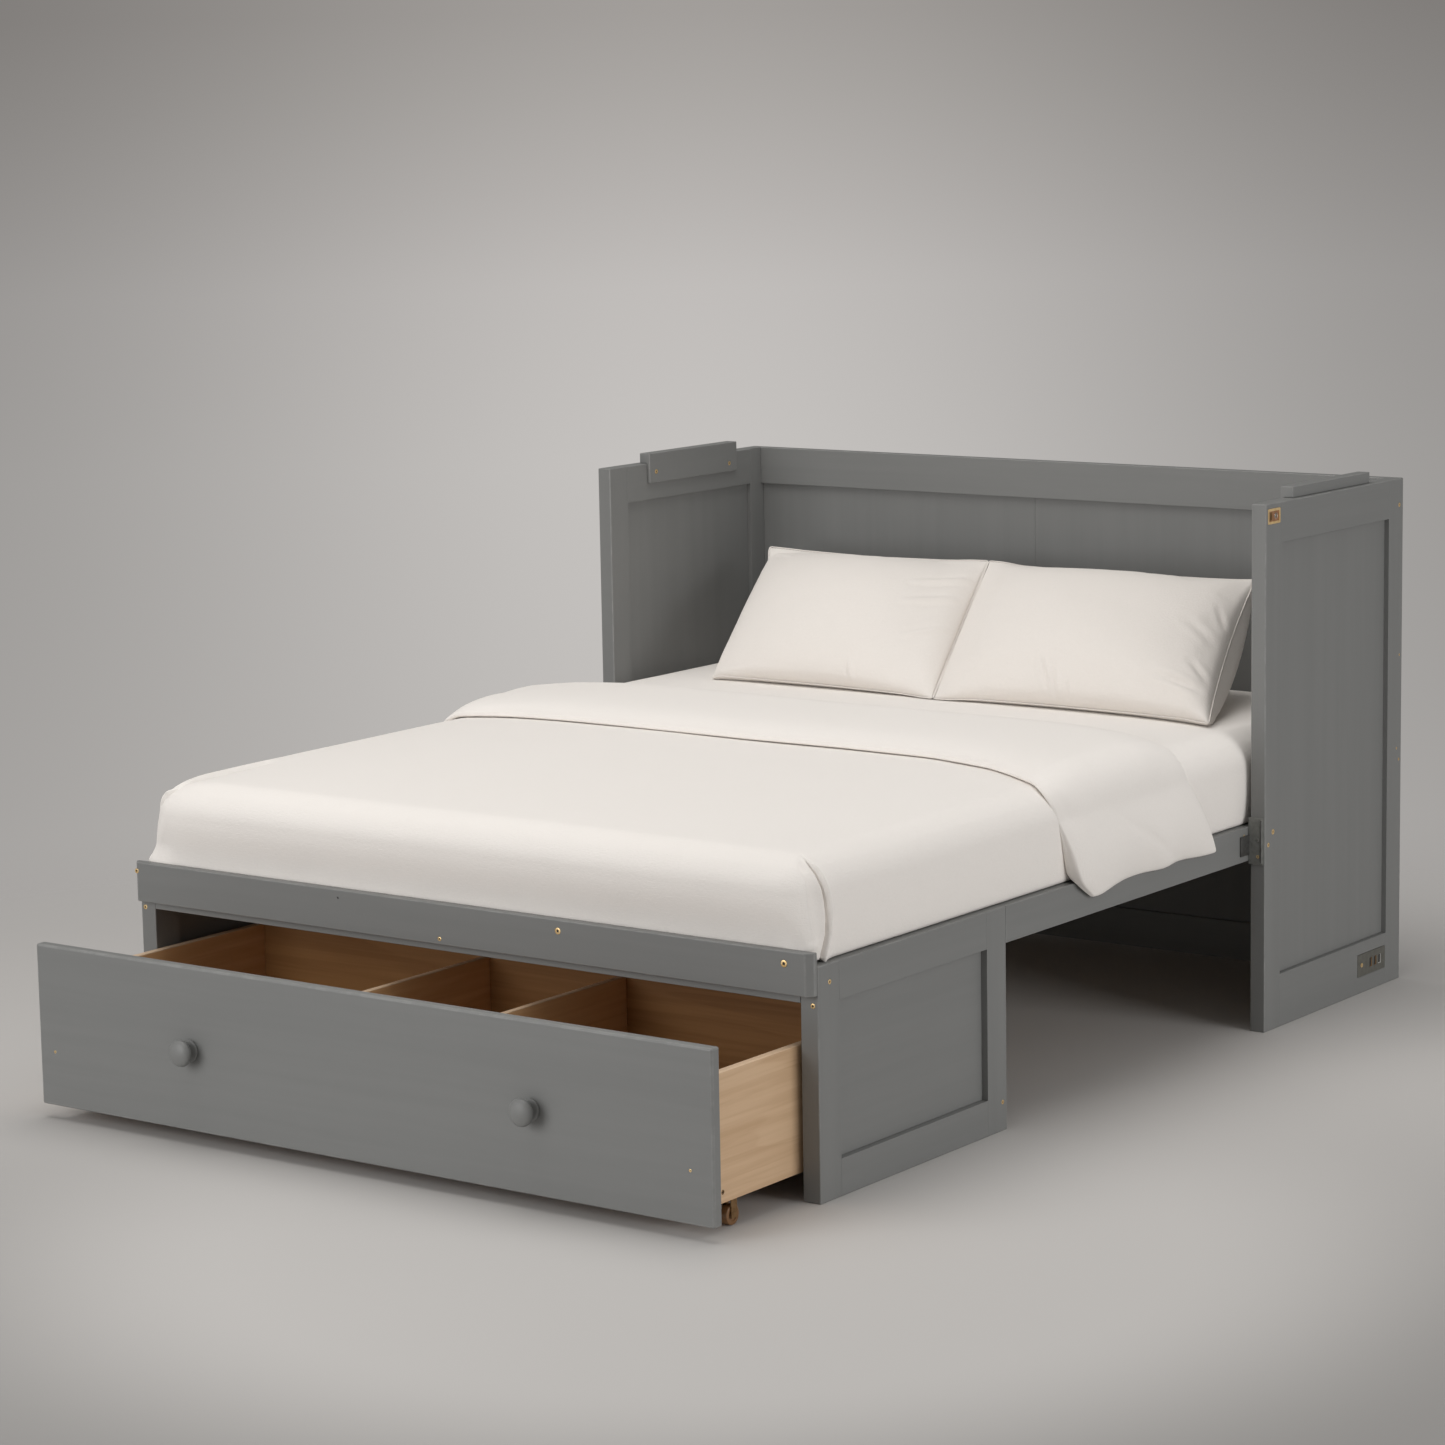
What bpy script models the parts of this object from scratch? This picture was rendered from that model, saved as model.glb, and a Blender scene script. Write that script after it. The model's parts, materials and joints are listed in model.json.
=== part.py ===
"""Storage bed: a low cabinet at the head, a drawer box at the foot, and a made bed between them.

Metres, +Z up. The foot of the bed faces -Y and the cabinet stands at +Y. The origin is on the floor,
at the middle of the whole bed with its drawer drawn out as far as it is drawn here.
"""
import math

import bmesh
import bpy
from mathutils import Matrix, Vector

for old in list(bpy.data.objects):
    bpy.data.objects.remove(old, do_unlink=True)

# Joints and edges
joint_gap = 0.0003
paint_edge = 0.0015
cut_overrun = 0.004
union_bite = 0.002
turning_merge_distance = 0.00001

# Mattress, which sets the width of everything round it
mattress_width = 1.524
mattress_thickness = 0.176
mattress_crown = 0.014
mattress_edge_radius = 0.045
mattress_side_swell = 0.004
mattress_foot_clearance = 0.002
mattress_head_clearance = 0.014

# Cabinet at the head
cabinet_side_room = 0.021
cabinet_depth = 0.580
cabinet_height = 1.044
side_thickness = 0.032
cabinet_width = mattress_width + 2 * (cabinet_side_room + side_thickness)
stile_width = 0.062
side_top_rail_height = 0.079
side_bottom_rail_height = 0.107
side_panel_thickness = 0.012
back_rail_thickness = 0.022
back_rail_height = 0.081
back_panel_thickness = 0.009
back_panel_setback = 0.010
back_seam_offset = -0.060
cleat_front_setback = 0.132
cleat_length = 0.324
cleat_height = 0.065
cleat_rise = 0.022
cleat_overhang = 0.008
cleat_seat_width = 0.019

# Brass plates let into the cabinet's sides
latch_plate_length = 0.050
latch_plate_height = 0.030
latch_plate_thickness = 0.002
latch_plate_front_setback = 0.008
latch_plate_top_setback = 0.010
latch_hole_radius = 0.004
outlet_plate_length = 0.120
outlet_plate_height = 0.046
outlet_plate_thickness = 0.004
outlet_plate_floor_height = 0.035
outlet_plate_rear_setback = 0.066
outlet_socket_size = 0.014
outlet_socket_pitch = 0.024
outlet_socket_depth = 0.002
pocket_clearance = 0.0005

# Box at the foot
foot_reach = 1.480
foot_box_depth = 0.588
foot_box_side_room = 0.018
foot_box_width = mattress_width + 2 * foot_box_side_room
foot_frame_thickness = 0.036
foot_leg_width = 0.063
bed_rail_top = 0.410
bed_rail_height = 0.068
foot_bottom_rail_height = 0.066
foot_panel_thickness = 0.012
front_rail_thickness = 0.020
front_rail_height = 0.075
front_rail_rise = 0.025
front_rail_chamfer = 0.012
cross_rail_thickness = 0.025
cross_rail_setback = 0.002
cross_rail_height = 0.064

# Side rails, ledgers and slats
side_rail_thickness = 0.025
side_rail_back_clearance = 0.001
ledger_width = 0.022
ledger_height = 0.020
slat_width = 0.070
slat_pitch = 0.115
slat_thickness = 0.018
slat_end_clearance = 0.002
slat_top_setback = 0.0005
batten_width = 0.045
batten_thickness = 0.012
deck_end_clearance = 0.004

# Bracket that ties each side rail to the cabinet
bracket_thickness = 0.003
bracket_height = 0.093
bracket_width = 0.032
bracket_tab_length = 0.034
bracket_tab_height = 0.039
bracket_drop = 0.074
bracket_rise = 0.019
bracket_pin_radius = 0.0025
bracket_pin_setback = 0.004

# Drawer
pull_out = 0.268
drawer_front_setback = 0.010
drawer_front_width = foot_box_width - 2 * drawer_front_setback
drawer_front_thickness = 0.020
drawer_front_floor_gap = 0.026
drawer_front_height = 0.302
drawer_front_edge = 0.004
drawer_side_clearance = 0.009
drawer_box_width = foot_box_width - 2 * (foot_frame_thickness + drawer_side_clearance)
drawer_box_depth = 0.555
drawer_box_height = 0.222
drawer_box_floor_gap = 0.048
drawer_board_thickness = 0.015
drawer_bottom_thickness = 0.008
divider_thickness = 0.012
divider_offset = 0.160
knob_offset = 0.390
knob_projection = 0.038
knob_base_radius = 0.020
knob_neck_radius = 0.008
knob_neck_length = 0.012
knob_head_radius = 0.0245
knob_head_length = 0.020
knob_drop = 0.002

# Castors under the drawer
wheel_radius = 0.018
wheel_width = 0.014
wheel_bore_radius = 0.0034
axle_radius = 0.0030
castor_plate_thickness = 0.003
castor_cheek_thickness = 0.002
castor_cheek_length = 0.016
castor_cheek_drop = 0.005
castor_side_clearance = 0.001
castor_inset = 0.0155
castor_front_setback = 0.090
castor_back_setback = 0.070

# Duvet and pillows
soft_clearance = 0.0005
duvet_thickness = 0.022
duvet_flap_thickness = 0.018
duvet_flap_outset = 0.006
duvet_flap_drop = 0.016
duvet_foot_reach = 0.650
duvet_head_reach = 0.300
duvet_shoulder_slant = 0.085
duvet_hem_slant = 0.130
duvet_edge_share = 0.70
duvet_flare_share = 0.80
duvet_fold_depth = 0.003
duvet_fold_count = 3
pillow_right_width = 0.655
pillow_right_setback = 0.076
pillow_left_setback = 0.219
pillow_gap = 0.004
pillow_depth = 0.470
pillow_front_reach = 0.020
pillow_front_lift = 0.012
pillow_top_lean = 0.120
pillow_tilt_degrees = 30.0
pillow_loft = 0.088
pillow_belly = 0.150
pillow_drawn_in_share = 0.030
latch_hole_share = 0.667
knob_base_length_share = 0.333
wheel_rim_share = 0.20

# Places worked out from the sizes above
total_length = cabinet_depth + foot_reach + pull_out + drawer_front_thickness + knob_projection
cabinet_back_y = total_length / 2
cabinet_front_y = cabinet_back_y - cabinet_depth
foot_front_y = cabinet_front_y - foot_reach
foot_back_y = foot_front_y + foot_box_depth
cabinet_inner_x = cabinet_width / 2 - side_thickness
foot_inner_x = foot_box_width / 2 - foot_frame_thickness
back_panel_front_y = cabinet_back_y - back_rail_thickness + back_panel_setback
slat_top = bed_rail_top - slat_top_setback
ledger_top = slat_top - slat_thickness - joint_gap
bed_rail_bottom = bed_rail_top - bed_rail_height
drawer_front_back_y = foot_front_y - pull_out
drawer_inner_x = drawer_box_width / 2 - drawer_board_thickness
drawer_box_back_y = drawer_front_back_y + drawer_box_depth
mattress_bottom = bed_rail_top + joint_gap


def painted(name, colour, roughness, metallic=0.0):
    """A plain Principled material in one of the bed's finishes."""
    material = bpy.data.materials.new(name)
    material.use_nodes = True
    shader = material.node_tree.nodes["Principled BSDF"]
    shader.inputs["Base Color"].default_value = (*colour, 1.0)
    shader.inputs["Roughness"].default_value = roughness
    shader.inputs["Metallic"].default_value = metallic
    material.diffuse_color = (*colour, 1.0)
    return material


grey_paint = (0.198, 0.200, 0.196)
drawer_wood = (0.560, 0.370, 0.210)
slat_wood = (0.500, 0.360, 0.220)
brass_metal = (0.600, 0.400, 0.150)
dark_steel = (0.120, 0.120, 0.120)
wheel_plastic = (0.200, 0.110, 0.050)
linen = (0.800, 0.760, 0.710)


def link(mesh, name, centre, colour, roughness, metallic=0.0, parent=None):
    """Put a mesh in the scene as one named piece with its own material."""
    piece = bpy.data.objects.new(name, mesh)
    bpy.context.scene.collection.objects.link(piece)
    piece.location = centre
    if parent is not None:
        piece.parent = parent
        piece.location = Vector(centre) - parent.location
    mesh.materials.append(painted(name, colour, roughness, metallic))
    return piece


def finished_mesh(name, shape):
    """Turn an edit mesh into a mesh whose faces point outwards."""
    bmesh.ops.recalc_face_normals(shape, faces=shape.faces)
    if shape.calc_volume(signed=True) < 0:
        bmesh.ops.reverse_faces(shape, faces=shape.faces)
    mesh = bpy.data.meshes.new(name)
    shape.to_mesh(mesh)
    shape.free()
    return mesh


def box_shape(low, high, edge=0.0):
    """A box between two corners, with its edges eased by a small chamfer."""
    size = Vector(high) - Vector(low)
    middle = (Vector(high) + Vector(low)) / 2
    shape = bmesh.new()
    place = Matrix.Translation(middle) @ Matrix.Diagonal((*size, 1.0))
    bmesh.ops.create_cube(shape, size=1.0, matrix=place)
    if edge > 0:
        bmesh.ops.bevel(shape, geom=shape.edges[:], offset=edge, segments=1, affect="EDGES")
    return shape


def board(
    name, low, high, colour=grey_paint, roughness=0.45, metallic=0.0, edge=paint_edge, parent=None,
):
    """A sawn board or plate between two corners of the bed."""
    middle = (Vector(low) + Vector(high)) / 2
    shape = box_shape(Vector(low) - middle, Vector(high) - middle, edge)
    return link(finished_mesh(name, shape), name, middle, colour, roughness, metallic, parent)


def prism(
    name, outline, axis, start, end, colour=grey_paint, roughness=0.45, metallic=0.0, edge=0.0,
):
    """A strip of one section: outline points are in the two other axes, in X, Y, Z order."""
    shape = bmesh.new()
    others = [number for number in range(3) if number != axis]
    corners = []
    for first, second in outline:
        point = [0.0, 0.0, 0.0]
        point[others[0]] = first
        point[others[1]] = second
        point[axis] = start
        corners.append(shape.verts.new(point))
    face = shape.faces.new(corners)
    grown = bmesh.ops.extrude_face_region(shape, geom=[face])
    moved = [item for item in grown["geom"] if isinstance(item, bmesh.types.BMVert)]
    along = Vector((0.0, 0.0, 0.0))
    along[axis] = end - start
    bmesh.ops.translate(shape, vec=along, verts=moved)
    bmesh.ops.recalc_face_normals(shape, faces=shape.faces)
    if edge > 0:
        bmesh.ops.bevel(shape, geom=shape.edges[:], offset=edge, segments=1, affect="EDGES")
    return link(finished_mesh(name, shape), name, (0.0, 0.0, 0.0), colour, roughness, metallic)


def tool(name, shapes, operation, target):
    """Cut a hidden shape from a piece, or join it on."""
    joined = bmesh.new()
    for shape in shapes:
        part = finished_mesh(name, shape)
        part.transform(Matrix.Translation(-target.matrix_basis.translation))
        joined.from_mesh(part)
        bpy.data.meshes.remove(part)
    guide = bpy.data.objects.new(name, finished_mesh(name, joined))
    bpy.context.scene.collection.objects.link(guide)
    guide.parent = target
    guide.display_type = "WIRE"
    guide.hide_render = True
    change = target.modifiers.new(name, "BOOLEAN")
    change.operation = operation
    change.object = guide
    change.solver = "EXACT"
    return guide


def mirrored(side, near, far):
    """The low and high X of a piece that lies between two distances from the middle plane."""
    return (min(side * near, side * far), max(side * near, side * far))


def side_frame(
    prefix, upright, side, inner_x, thickness, front_y, back_y, height, top_rail, bottom_rail, stile,
    panel,
):
    """A frame and panel without its top rail: two uprights, a bottom rail and a panel let in halfway."""
    low_x, high_x = mirrored(side, inner_x, inner_x + thickness)
    front = board(f"{prefix}_front_{upright}", (low_x, front_y, 0.0), (high_x, front_y + stile, height))
    board(f"{prefix}_rear_{upright}", (low_x, back_y - stile, 0.0), (high_x, back_y, height))
    rail_front = front_y + stile + joint_gap
    rail_back = back_y - stile - joint_gap
    bottom = board(f"{prefix}_bottom_rail", (low_x, rail_front, 0.0), (high_x, rail_back, bottom_rail))
    setback = (thickness - panel) / 2
    panel_low, panel_high = mirrored(side, inner_x + setback, inner_x + thickness - setback)
    board(
        f"{prefix}_panel",
        (panel_low, rail_front, bottom_rail + joint_gap),
        (panel_high, rail_back, height - top_rail - joint_gap),
        edge=0.0,
    )
    return front, bottom, rail_front, rail_back


def make_cabinet_side(side, word):
    """One end of the cabinet, with its brass latch plate and the cleat that the lid drops on."""
    prefix = f"cabinet_{word}"
    front_stile, bottom_rail, rail_front, rail_back = side_frame(
        prefix, "stile", side, cabinet_inner_x, side_thickness, cabinet_front_y, cabinet_back_y,
        cabinet_height, side_top_rail_height, side_bottom_rail_height, stile_width, side_panel_thickness,
    )
    low_x, high_x = mirrored(side, cabinet_inner_x, cabinet_width / 2)
    board(
        f"{prefix}_top_rail",
        (low_x, rail_front, cabinet_height - side_top_rail_height),
        (high_x, rail_back, cabinet_height),
    )
    make_lid_cleat(side, word)
    make_latch_plate(side, word, front_stile)
    return bottom_rail


def make_lid_cleat(side, word):
    """A rabbeted strip: its lip lies on the top rail and its skirt hangs inside the cabinet."""
    start = cabinet_front_y + cleat_front_setback
    inner = cabinet_inner_x - cleat_overhang
    top = cabinet_height + cleat_rise
    section = [
        (inner, top - cleat_height),
        (cabinet_inner_x - joint_gap, top - cleat_height),
        (cabinet_inner_x - joint_gap, cabinet_height + joint_gap),
        (cabinet_inner_x + cleat_seat_width, cabinet_height + joint_gap),
        (cabinet_inner_x + cleat_seat_width, top),
        (inner, top),
    ]
    outline = [(side * x, z) for x, z in section]
    prism(f"lid_cleat_{word}", outline, 1, start, start + cleat_length)


def make_latch_plate(side, word, stile):
    """A brass plate, flush in the stile's outer face, with the hole that the lid's catch enters."""
    front = cabinet_front_y + latch_plate_front_setback
    back = front + latch_plate_length
    top = cabinet_height - latch_plate_top_setback
    bottom = top - latch_plate_height
    outer = cabinet_width / 2
    low_x, high_x = mirrored(side, outer - latch_plate_thickness, outer)
    plate = board(
        f"latch_plate_{word}", (low_x, front, bottom), (high_x, back, top),
        brass_metal, 0.35, 1.0, edge=0.0,
    )
    pocket_floor = outer - latch_plate_thickness - joint_gap
    pocket_low, pocket_high = mirrored(side, pocket_floor, outer + cut_overrun)
    pocket = box_shape(
        (pocket_low, front - pocket_clearance, bottom - pocket_clearance),
        (pocket_high, back + pocket_clearance, top + pocket_clearance),
    )
    tool(f"latch_pocket_{word}", [pocket], "DIFFERENCE", stile)
    hole = bmesh.new()
    hole_y = front + latch_plate_length * latch_hole_share
    across = Matrix.Translation((side * outer, hole_y, (top + bottom) / 2))
    across = across @ Matrix.Rotation(math.pi / 2, 4, "Y")
    bmesh.ops.create_cone(
        hole, cap_ends=True, segments=12, radius1=latch_hole_radius, radius2=latch_hole_radius,
        depth=2 * latch_plate_thickness + cut_overrun, matrix=across,
    )
    tool(f"latch_hole_{word}", [hole], "DIFFERENCE", plate)


def make_outlet(bottom_rail):
    """A brass outlet plate near the cabinet's rear foot, with three shallow sockets."""
    outer = cabinet_width / 2
    back = cabinet_back_y - outlet_plate_rear_setback
    front = back - outlet_plate_length
    bottom = outlet_plate_floor_height
    top = bottom + outlet_plate_height
    plate = board(
        "outlet_plate", (outer - outlet_plate_thickness, front, bottom), (outer, back, top),
        dark_steel, 0.40, 0.6, edge=0.0,
    )
    pocket_floor = outer - outlet_plate_thickness - joint_gap
    pocket = box_shape(
        (pocket_floor, front - pocket_clearance, bottom - pocket_clearance),
        (outer + cut_overrun, back + pocket_clearance, top + pocket_clearance),
    )
    tool("outlet_pocket", [pocket], "DIFFERENCE", bottom_rail)
    sockets = []
    for number in (-1, 0, 1):
        middle_y = (front + back) / 2 + number * outlet_socket_pitch
        middle_z = (top + bottom) / 2
        half = outlet_socket_size / 2
        low = (outer - outlet_socket_depth, middle_y - half, middle_z - half)
        high = (outer + cut_overrun, middle_y + half, middle_z + half)
        sockets.append(box_shape(low, high))
    tool("outlet_sockets", sockets, "DIFFERENCE", plate)


def make_cabinet_back():
    """Two rails across the back of the cabinet and two boards between them that meet at a seam."""
    half = cabinet_inner_x - joint_gap
    rail_front = cabinet_back_y - back_rail_thickness
    board(
        "back_top_rail", (-half, rail_front, cabinet_height - back_rail_height),
        (half, cabinet_back_y, cabinet_height),
    )
    board("back_bottom_rail", (-half, rail_front, 0.0), (half, cabinet_back_y, back_rail_height))
    low_z = back_rail_height + joint_gap
    high_z = cabinet_height - back_rail_height - joint_gap
    panel_back = back_panel_front_y + back_panel_thickness
    board(
        "back_panel_left", (-half, back_panel_front_y, low_z),
        (back_seam_offset - joint_gap / 2, panel_back, high_z),
    )
    board(
        "back_panel_right", (back_seam_offset + joint_gap / 2, back_panel_front_y, low_z),
        (half, panel_back, high_z),
    )


def ledger_section(outer_x, thickness):
    """A rail with its slat ledger in one piece, seen from the foot: an L with the rail upright."""
    inner = outer_x - thickness
    return [
        (outer_x, bed_rail_bottom),
        (outer_x, bed_rail_top),
        (inner, bed_rail_top),
        (inner, ledger_top),
        (inner - ledger_width, ledger_top),
        (inner - ledger_width, ledger_top - ledger_height),
        (inner, ledger_top - ledger_height),
        (inner, bed_rail_bottom),
    ]


def make_foot_side(side, word):
    """One side of the drawer box, with its bed rail and ledger along the top."""
    prefix = f"foot_{word}"
    rail_front, rail_back = side_frame(
        prefix, "leg", side, foot_inner_x, foot_frame_thickness, foot_front_y, foot_back_y, bed_rail_top,
        bed_rail_height, foot_bottom_rail_height, foot_leg_width, foot_panel_thickness,
    )[2:]
    section = ledger_section(foot_box_width / 2, foot_frame_thickness)
    outline = [(side * x, z) for x, z in section]
    prism(f"{prefix}_top_rail", outline, 1, rail_front, rail_back)


def make_foot_cross_members():
    """The rail that shows across the foot, the one behind it, and the one at the box's back."""
    half = foot_box_width / 2
    front = foot_front_y - joint_gap - front_rail_thickness
    top = bed_rail_top + front_rail_rise
    outline = [
        (-half, foot_front_y - joint_gap),
        (-half, front + front_rail_chamfer),
        (-half + front_rail_chamfer, front),
        (half - front_rail_chamfer, front),
        (half, front + front_rail_chamfer),
        (half, foot_front_y - joint_gap),
    ]
    prism("foot_front_rail", outline, 2, top - front_rail_height, top, edge=paint_edge)
    span = foot_inner_x - joint_gap
    cross_top = bed_rail_top - cross_rail_setback
    board(
        "foot_cross_rail", (-span, foot_front_y, cross_top - cross_rail_height),
        (span, foot_front_y + cross_rail_thickness, cross_top),
    )
    board(
        "foot_rear_rail", (-span, foot_back_y - cross_rail_thickness, cross_top - cross_rail_height),
        (span, foot_back_y, cross_top),
    )


def make_side_rail(side, word):
    """The long rail from the drawer box to the cabinet's back, and the bracket that holds it there."""
    start = foot_back_y + joint_gap
    end = cabinet_back_y - back_rail_thickness - side_rail_back_clearance
    outline = [(side * x, z) for x, z in ledger_section(foot_box_width / 2, side_rail_thickness)]
    prism(f"side_rail_{word}", outline, 1, start, end)
    make_rail_bracket(side, word)


def make_rail_bracket(side, word):
    """A steel angle: a plate on the cabinet's front edge, a tab along the rail and a pin."""
    inner = foot_box_width / 2 + joint_gap
    back = cabinet_front_y - joint_gap
    front = back - bracket_thickness
    top = bed_rail_top + bracket_rise
    low_x, high_x = mirrored(side, inner, inner + bracket_width)
    plate = board(
        f"rail_bracket_{word}", (low_x, front, top - bracket_height), (high_x, back, top),
        dark_steel, 0.40, 0.8, edge=0.0,
    )
    tab_low, tab_high = mirrored(side, inner, inner + bracket_thickness)
    tab_bottom = top - bracket_drop
    tab_top = tab_bottom + bracket_tab_height
    tab = box_shape((tab_low, front - bracket_tab_length, tab_bottom), (tab_high, back, tab_top))
    tool(f"bracket_tab_{word}", [tab], "UNION", plate)
    pin = bmesh.new()
    pin_x = side * (inner + bracket_width - bracket_pin_setback)
    place = Matrix.Translation((pin_x, front, top - bracket_height / 2))
    bmesh.ops.create_cone(
        pin, cap_ends=True, segments=10, radius1=bracket_pin_radius, radius2=bracket_pin_radius,
        depth=bracket_height - 2 * bracket_pin_setback, matrix=place,
    )
    tool(f"bracket_pin_{word}", [pin], "UNION", plate)


def make_deck(name, front, back, half_width):
    """A run of slats across the bed, held together by three battens under them."""
    depth = back - front
    count = max(2, int((depth - slat_width) / slat_pitch) + 1)
    step = (depth - slat_width) / (count - 1)
    slats = bmesh.new()
    for number in range(count):
        start = front + number * step
        low = (-half_width, start, slat_top - slat_thickness)
        high = (half_width, start + slat_width, slat_top)
        slat = finished_mesh(name, box_shape(low, high))
        slats.from_mesh(slat)
        bpy.data.meshes.remove(slat)
    deck = link(finished_mesh(name, slats), name, (0.0, 0.0, 0.0), slat_wood, 0.60)
    battens = []
    reach = half_width - ledger_width - batten_width
    for place in (-reach, 0.0, reach):
        low = (place - batten_width / 2, front, slat_top - slat_thickness - batten_thickness)
        high = (place + batten_width / 2, back, slat_top - slat_thickness + union_bite)
        battens.append(box_shape(low, high))
    tool(f"{name}_battens", battens, "UNION", deck)


def make_decks():
    """Three slatted decks: over the drawer box, between it and the cabinet, and in the cabinet."""
    foot_half = foot_inner_x - slat_end_clearance
    rail_half = foot_box_width / 2 - side_rail_thickness - slat_end_clearance
    rail_end = cabinet_back_y - back_rail_thickness - side_rail_back_clearance
    make_deck(
        "deck_foot", foot_front_y + cross_rail_thickness + deck_end_clearance,
        foot_back_y - cross_rail_thickness - deck_end_clearance, foot_half,
    )
    make_deck(
        "deck_middle", foot_back_y + deck_end_clearance, cabinet_front_y - deck_end_clearance, rail_half,
    )
    make_deck(
        "deck_head", cabinet_front_y + deck_end_clearance, rail_end - deck_end_clearance, rail_half,
    )


def revolved(name, profile, centre, turn, colour, roughness, metallic, steps, closed, parent):
    """Turn a profile of (radius, height) points about Z, then lay its axis the way that turn says."""
    mesh = bpy.data.meshes.new(name)
    points = [(radius, 0.0, height) for radius, height in profile]
    lines = [(number, number + 1) for number in range(len(points) - 1)]
    if closed:
        lines.append((len(points) - 1, 0))
    mesh.from_pydata(points, lines, [])
    piece = link(mesh, name, centre, colour, roughness, metallic, parent)
    piece.rotation_euler = turn
    screw = piece.modifiers.new("turn", "SCREW")
    screw.steps = steps
    screw.render_steps = steps
    screw.use_merge_vertices = True
    screw.merge_threshold = turning_merge_distance
    screw.use_smooth_shade = True
    return piece


def make_knob(side, word, drawer):
    """A turned knob: a flange on the drawer's front, a neck and a domed head."""
    dome_steps = 4
    profile = []
    shoulder = knob_projection - knob_head_length / 2
    for step in range(dome_steps + 1):
        angle = math.pi / 2 * (1 - step / dome_steps)
        radius = knob_head_radius * math.cos(angle)
        profile.append((radius, shoulder + knob_head_length / 2 * math.sin(angle)))
    profile[0] = (0.0, knob_projection)
    profile.append((knob_neck_radius, knob_neck_length))
    profile.append((knob_base_radius, knob_neck_length * knob_base_length_share))
    profile.append((knob_base_radius, 0.0))
    profile.append((0.0, 0.0))
    face_y = drawer_front_back_y - drawer_front_thickness - joint_gap
    height = drawer_front_floor_gap + drawer_front_height / 2 - knob_drop
    seated_share = (knob_projection - joint_gap) / knob_projection
    seated = [(radius, depth * seated_share) for radius, depth in profile]
    revolved(
        f"drawer_knob_{word}", seated, (side * knob_offset, face_y, height), (math.pi / 2, 0.0, 0.0),
        grey_paint, 0.35, 0.0, 20, False, drawer,
    )


def make_castor(side, word, end, centre_y, drawer):
    """A wheel on its axle, and the folded bracket that hangs it under the drawer's side."""
    centre_x = side * (drawer_box_width / 2 - castor_inset)
    centre = (centre_x, centre_y, wheel_radius)
    half = wheel_width / 2
    half_gap = half + castor_side_clearance
    half_outer = half_gap + castor_cheek_thickness
    top = drawer_box_floor_gap - joint_gap
    under = top - castor_plate_thickness
    foot = wheel_radius - castor_cheek_drop
    outline = [
        (centre_x - half_outer, foot), (centre_x - half_gap, foot), (centre_x - half_gap, under),
        (centre_x + half_gap, under), (centre_x + half_gap, foot), (centre_x + half_outer, foot),
        (centre_x + half_outer, top), (centre_x - half_outer, top),
    ]
    fork = prism(
        f"castor_bracket_{end}_{word}", outline, 1, centre_y - castor_cheek_length / 2,
        centre_y + castor_cheek_length / 2, brass_metal, 0.40, 0.9,
    )
    axle = bmesh.new()
    across = Matrix.Translation(centre) @ Matrix.Rotation(math.pi / 2, 4, "Y")
    bmesh.ops.create_cone(
        axle, cap_ends=True, segments=12, radius1=axle_radius, radius2=axle_radius,
        depth=2 * half_gap + castor_cheek_thickness, matrix=across,
    )
    tool(f"axle_{end}_{word}", [axle], "UNION", fork)
    fork.parent = drawer
    fork.location = -drawer.location
    rim = wheel_width * wheel_rim_share
    profile = [
        (wheel_radius - rim / 2, half), (wheel_radius, half - rim), (wheel_radius, -half + rim),
        (wheel_radius - rim / 2, -half), (wheel_bore_radius, -half), (wheel_bore_radius, half),
    ]
    revolved(
        f"castor_wheel_{end}_{word}", profile, centre, (0.0, math.pi / 2, 0.0),
        wheel_plastic, 0.40, 0.0, 24, True, drawer,
    )


def make_drawer():
    """The drawer on its four castors, with two dividers, all on one empty that slides along Y."""
    front_y = drawer_front_back_y - drawer_front_thickness
    drawer = bpy.data.objects.new("drawer_travel", None)
    bpy.context.scene.collection.objects.link(drawer)
    drawer.location = (0.0, front_y, drawer_front_floor_gap + drawer_front_height / 2)
    front_top = drawer_front_floor_gap + drawer_front_height
    board(
        "drawer_front", (-drawer_front_width / 2, front_y, drawer_front_floor_gap),
        (drawer_front_width / 2, drawer_front_back_y, front_top), edge=drawer_front_edge, parent=drawer,
    )
    low_z = drawer_box_floor_gap
    high_z = low_z + drawer_box_height
    box_front = drawer_front_back_y + joint_gap
    for side, word in ((-1, "left"), (1, "right")):
        low_x, high_x = mirrored(side, drawer_inner_x, drawer_box_width / 2)
        board(
            f"drawer_side_{word}", (low_x, box_front, low_z), (high_x, drawer_box_back_y, high_z),
            drawer_wood, 0.55, parent=drawer,
        )
        make_knob(side, word, drawer)
        for end, place in (
            ("front", drawer_front_back_y + castor_front_setback),
            ("back", drawer_box_back_y - castor_back_setback),
        ):
            make_castor(side, word, end, place, drawer)
    half = drawer_inner_x - joint_gap
    inner_back = drawer_box_back_y - drawer_board_thickness
    board(
        "drawer_back", (-half, inner_back, low_z), (half, drawer_box_back_y, high_z),
        drawer_wood, 0.55, parent=drawer,
    )
    bottom_top = low_z + drawer_bottom_thickness
    board(
        "drawer_bottom", (-half, box_front, low_z), (half, inner_back - joint_gap, bottom_top),
        drawer_wood, 0.60, edge=0.0, parent=drawer,
    )
    for side, word in ((-1, "left"), (1, "right")):
        middle = side * divider_offset
        board(
            f"drawer_divider_{word}",
            (middle - divider_thickness / 2, box_front, bottom_top + joint_gap),
            (middle + divider_thickness / 2, inner_back - joint_gap, high_z),
            drawer_wood, 0.55, edge=paint_edge, parent=drawer,
        )


mattress_edge_steps = 3


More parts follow.
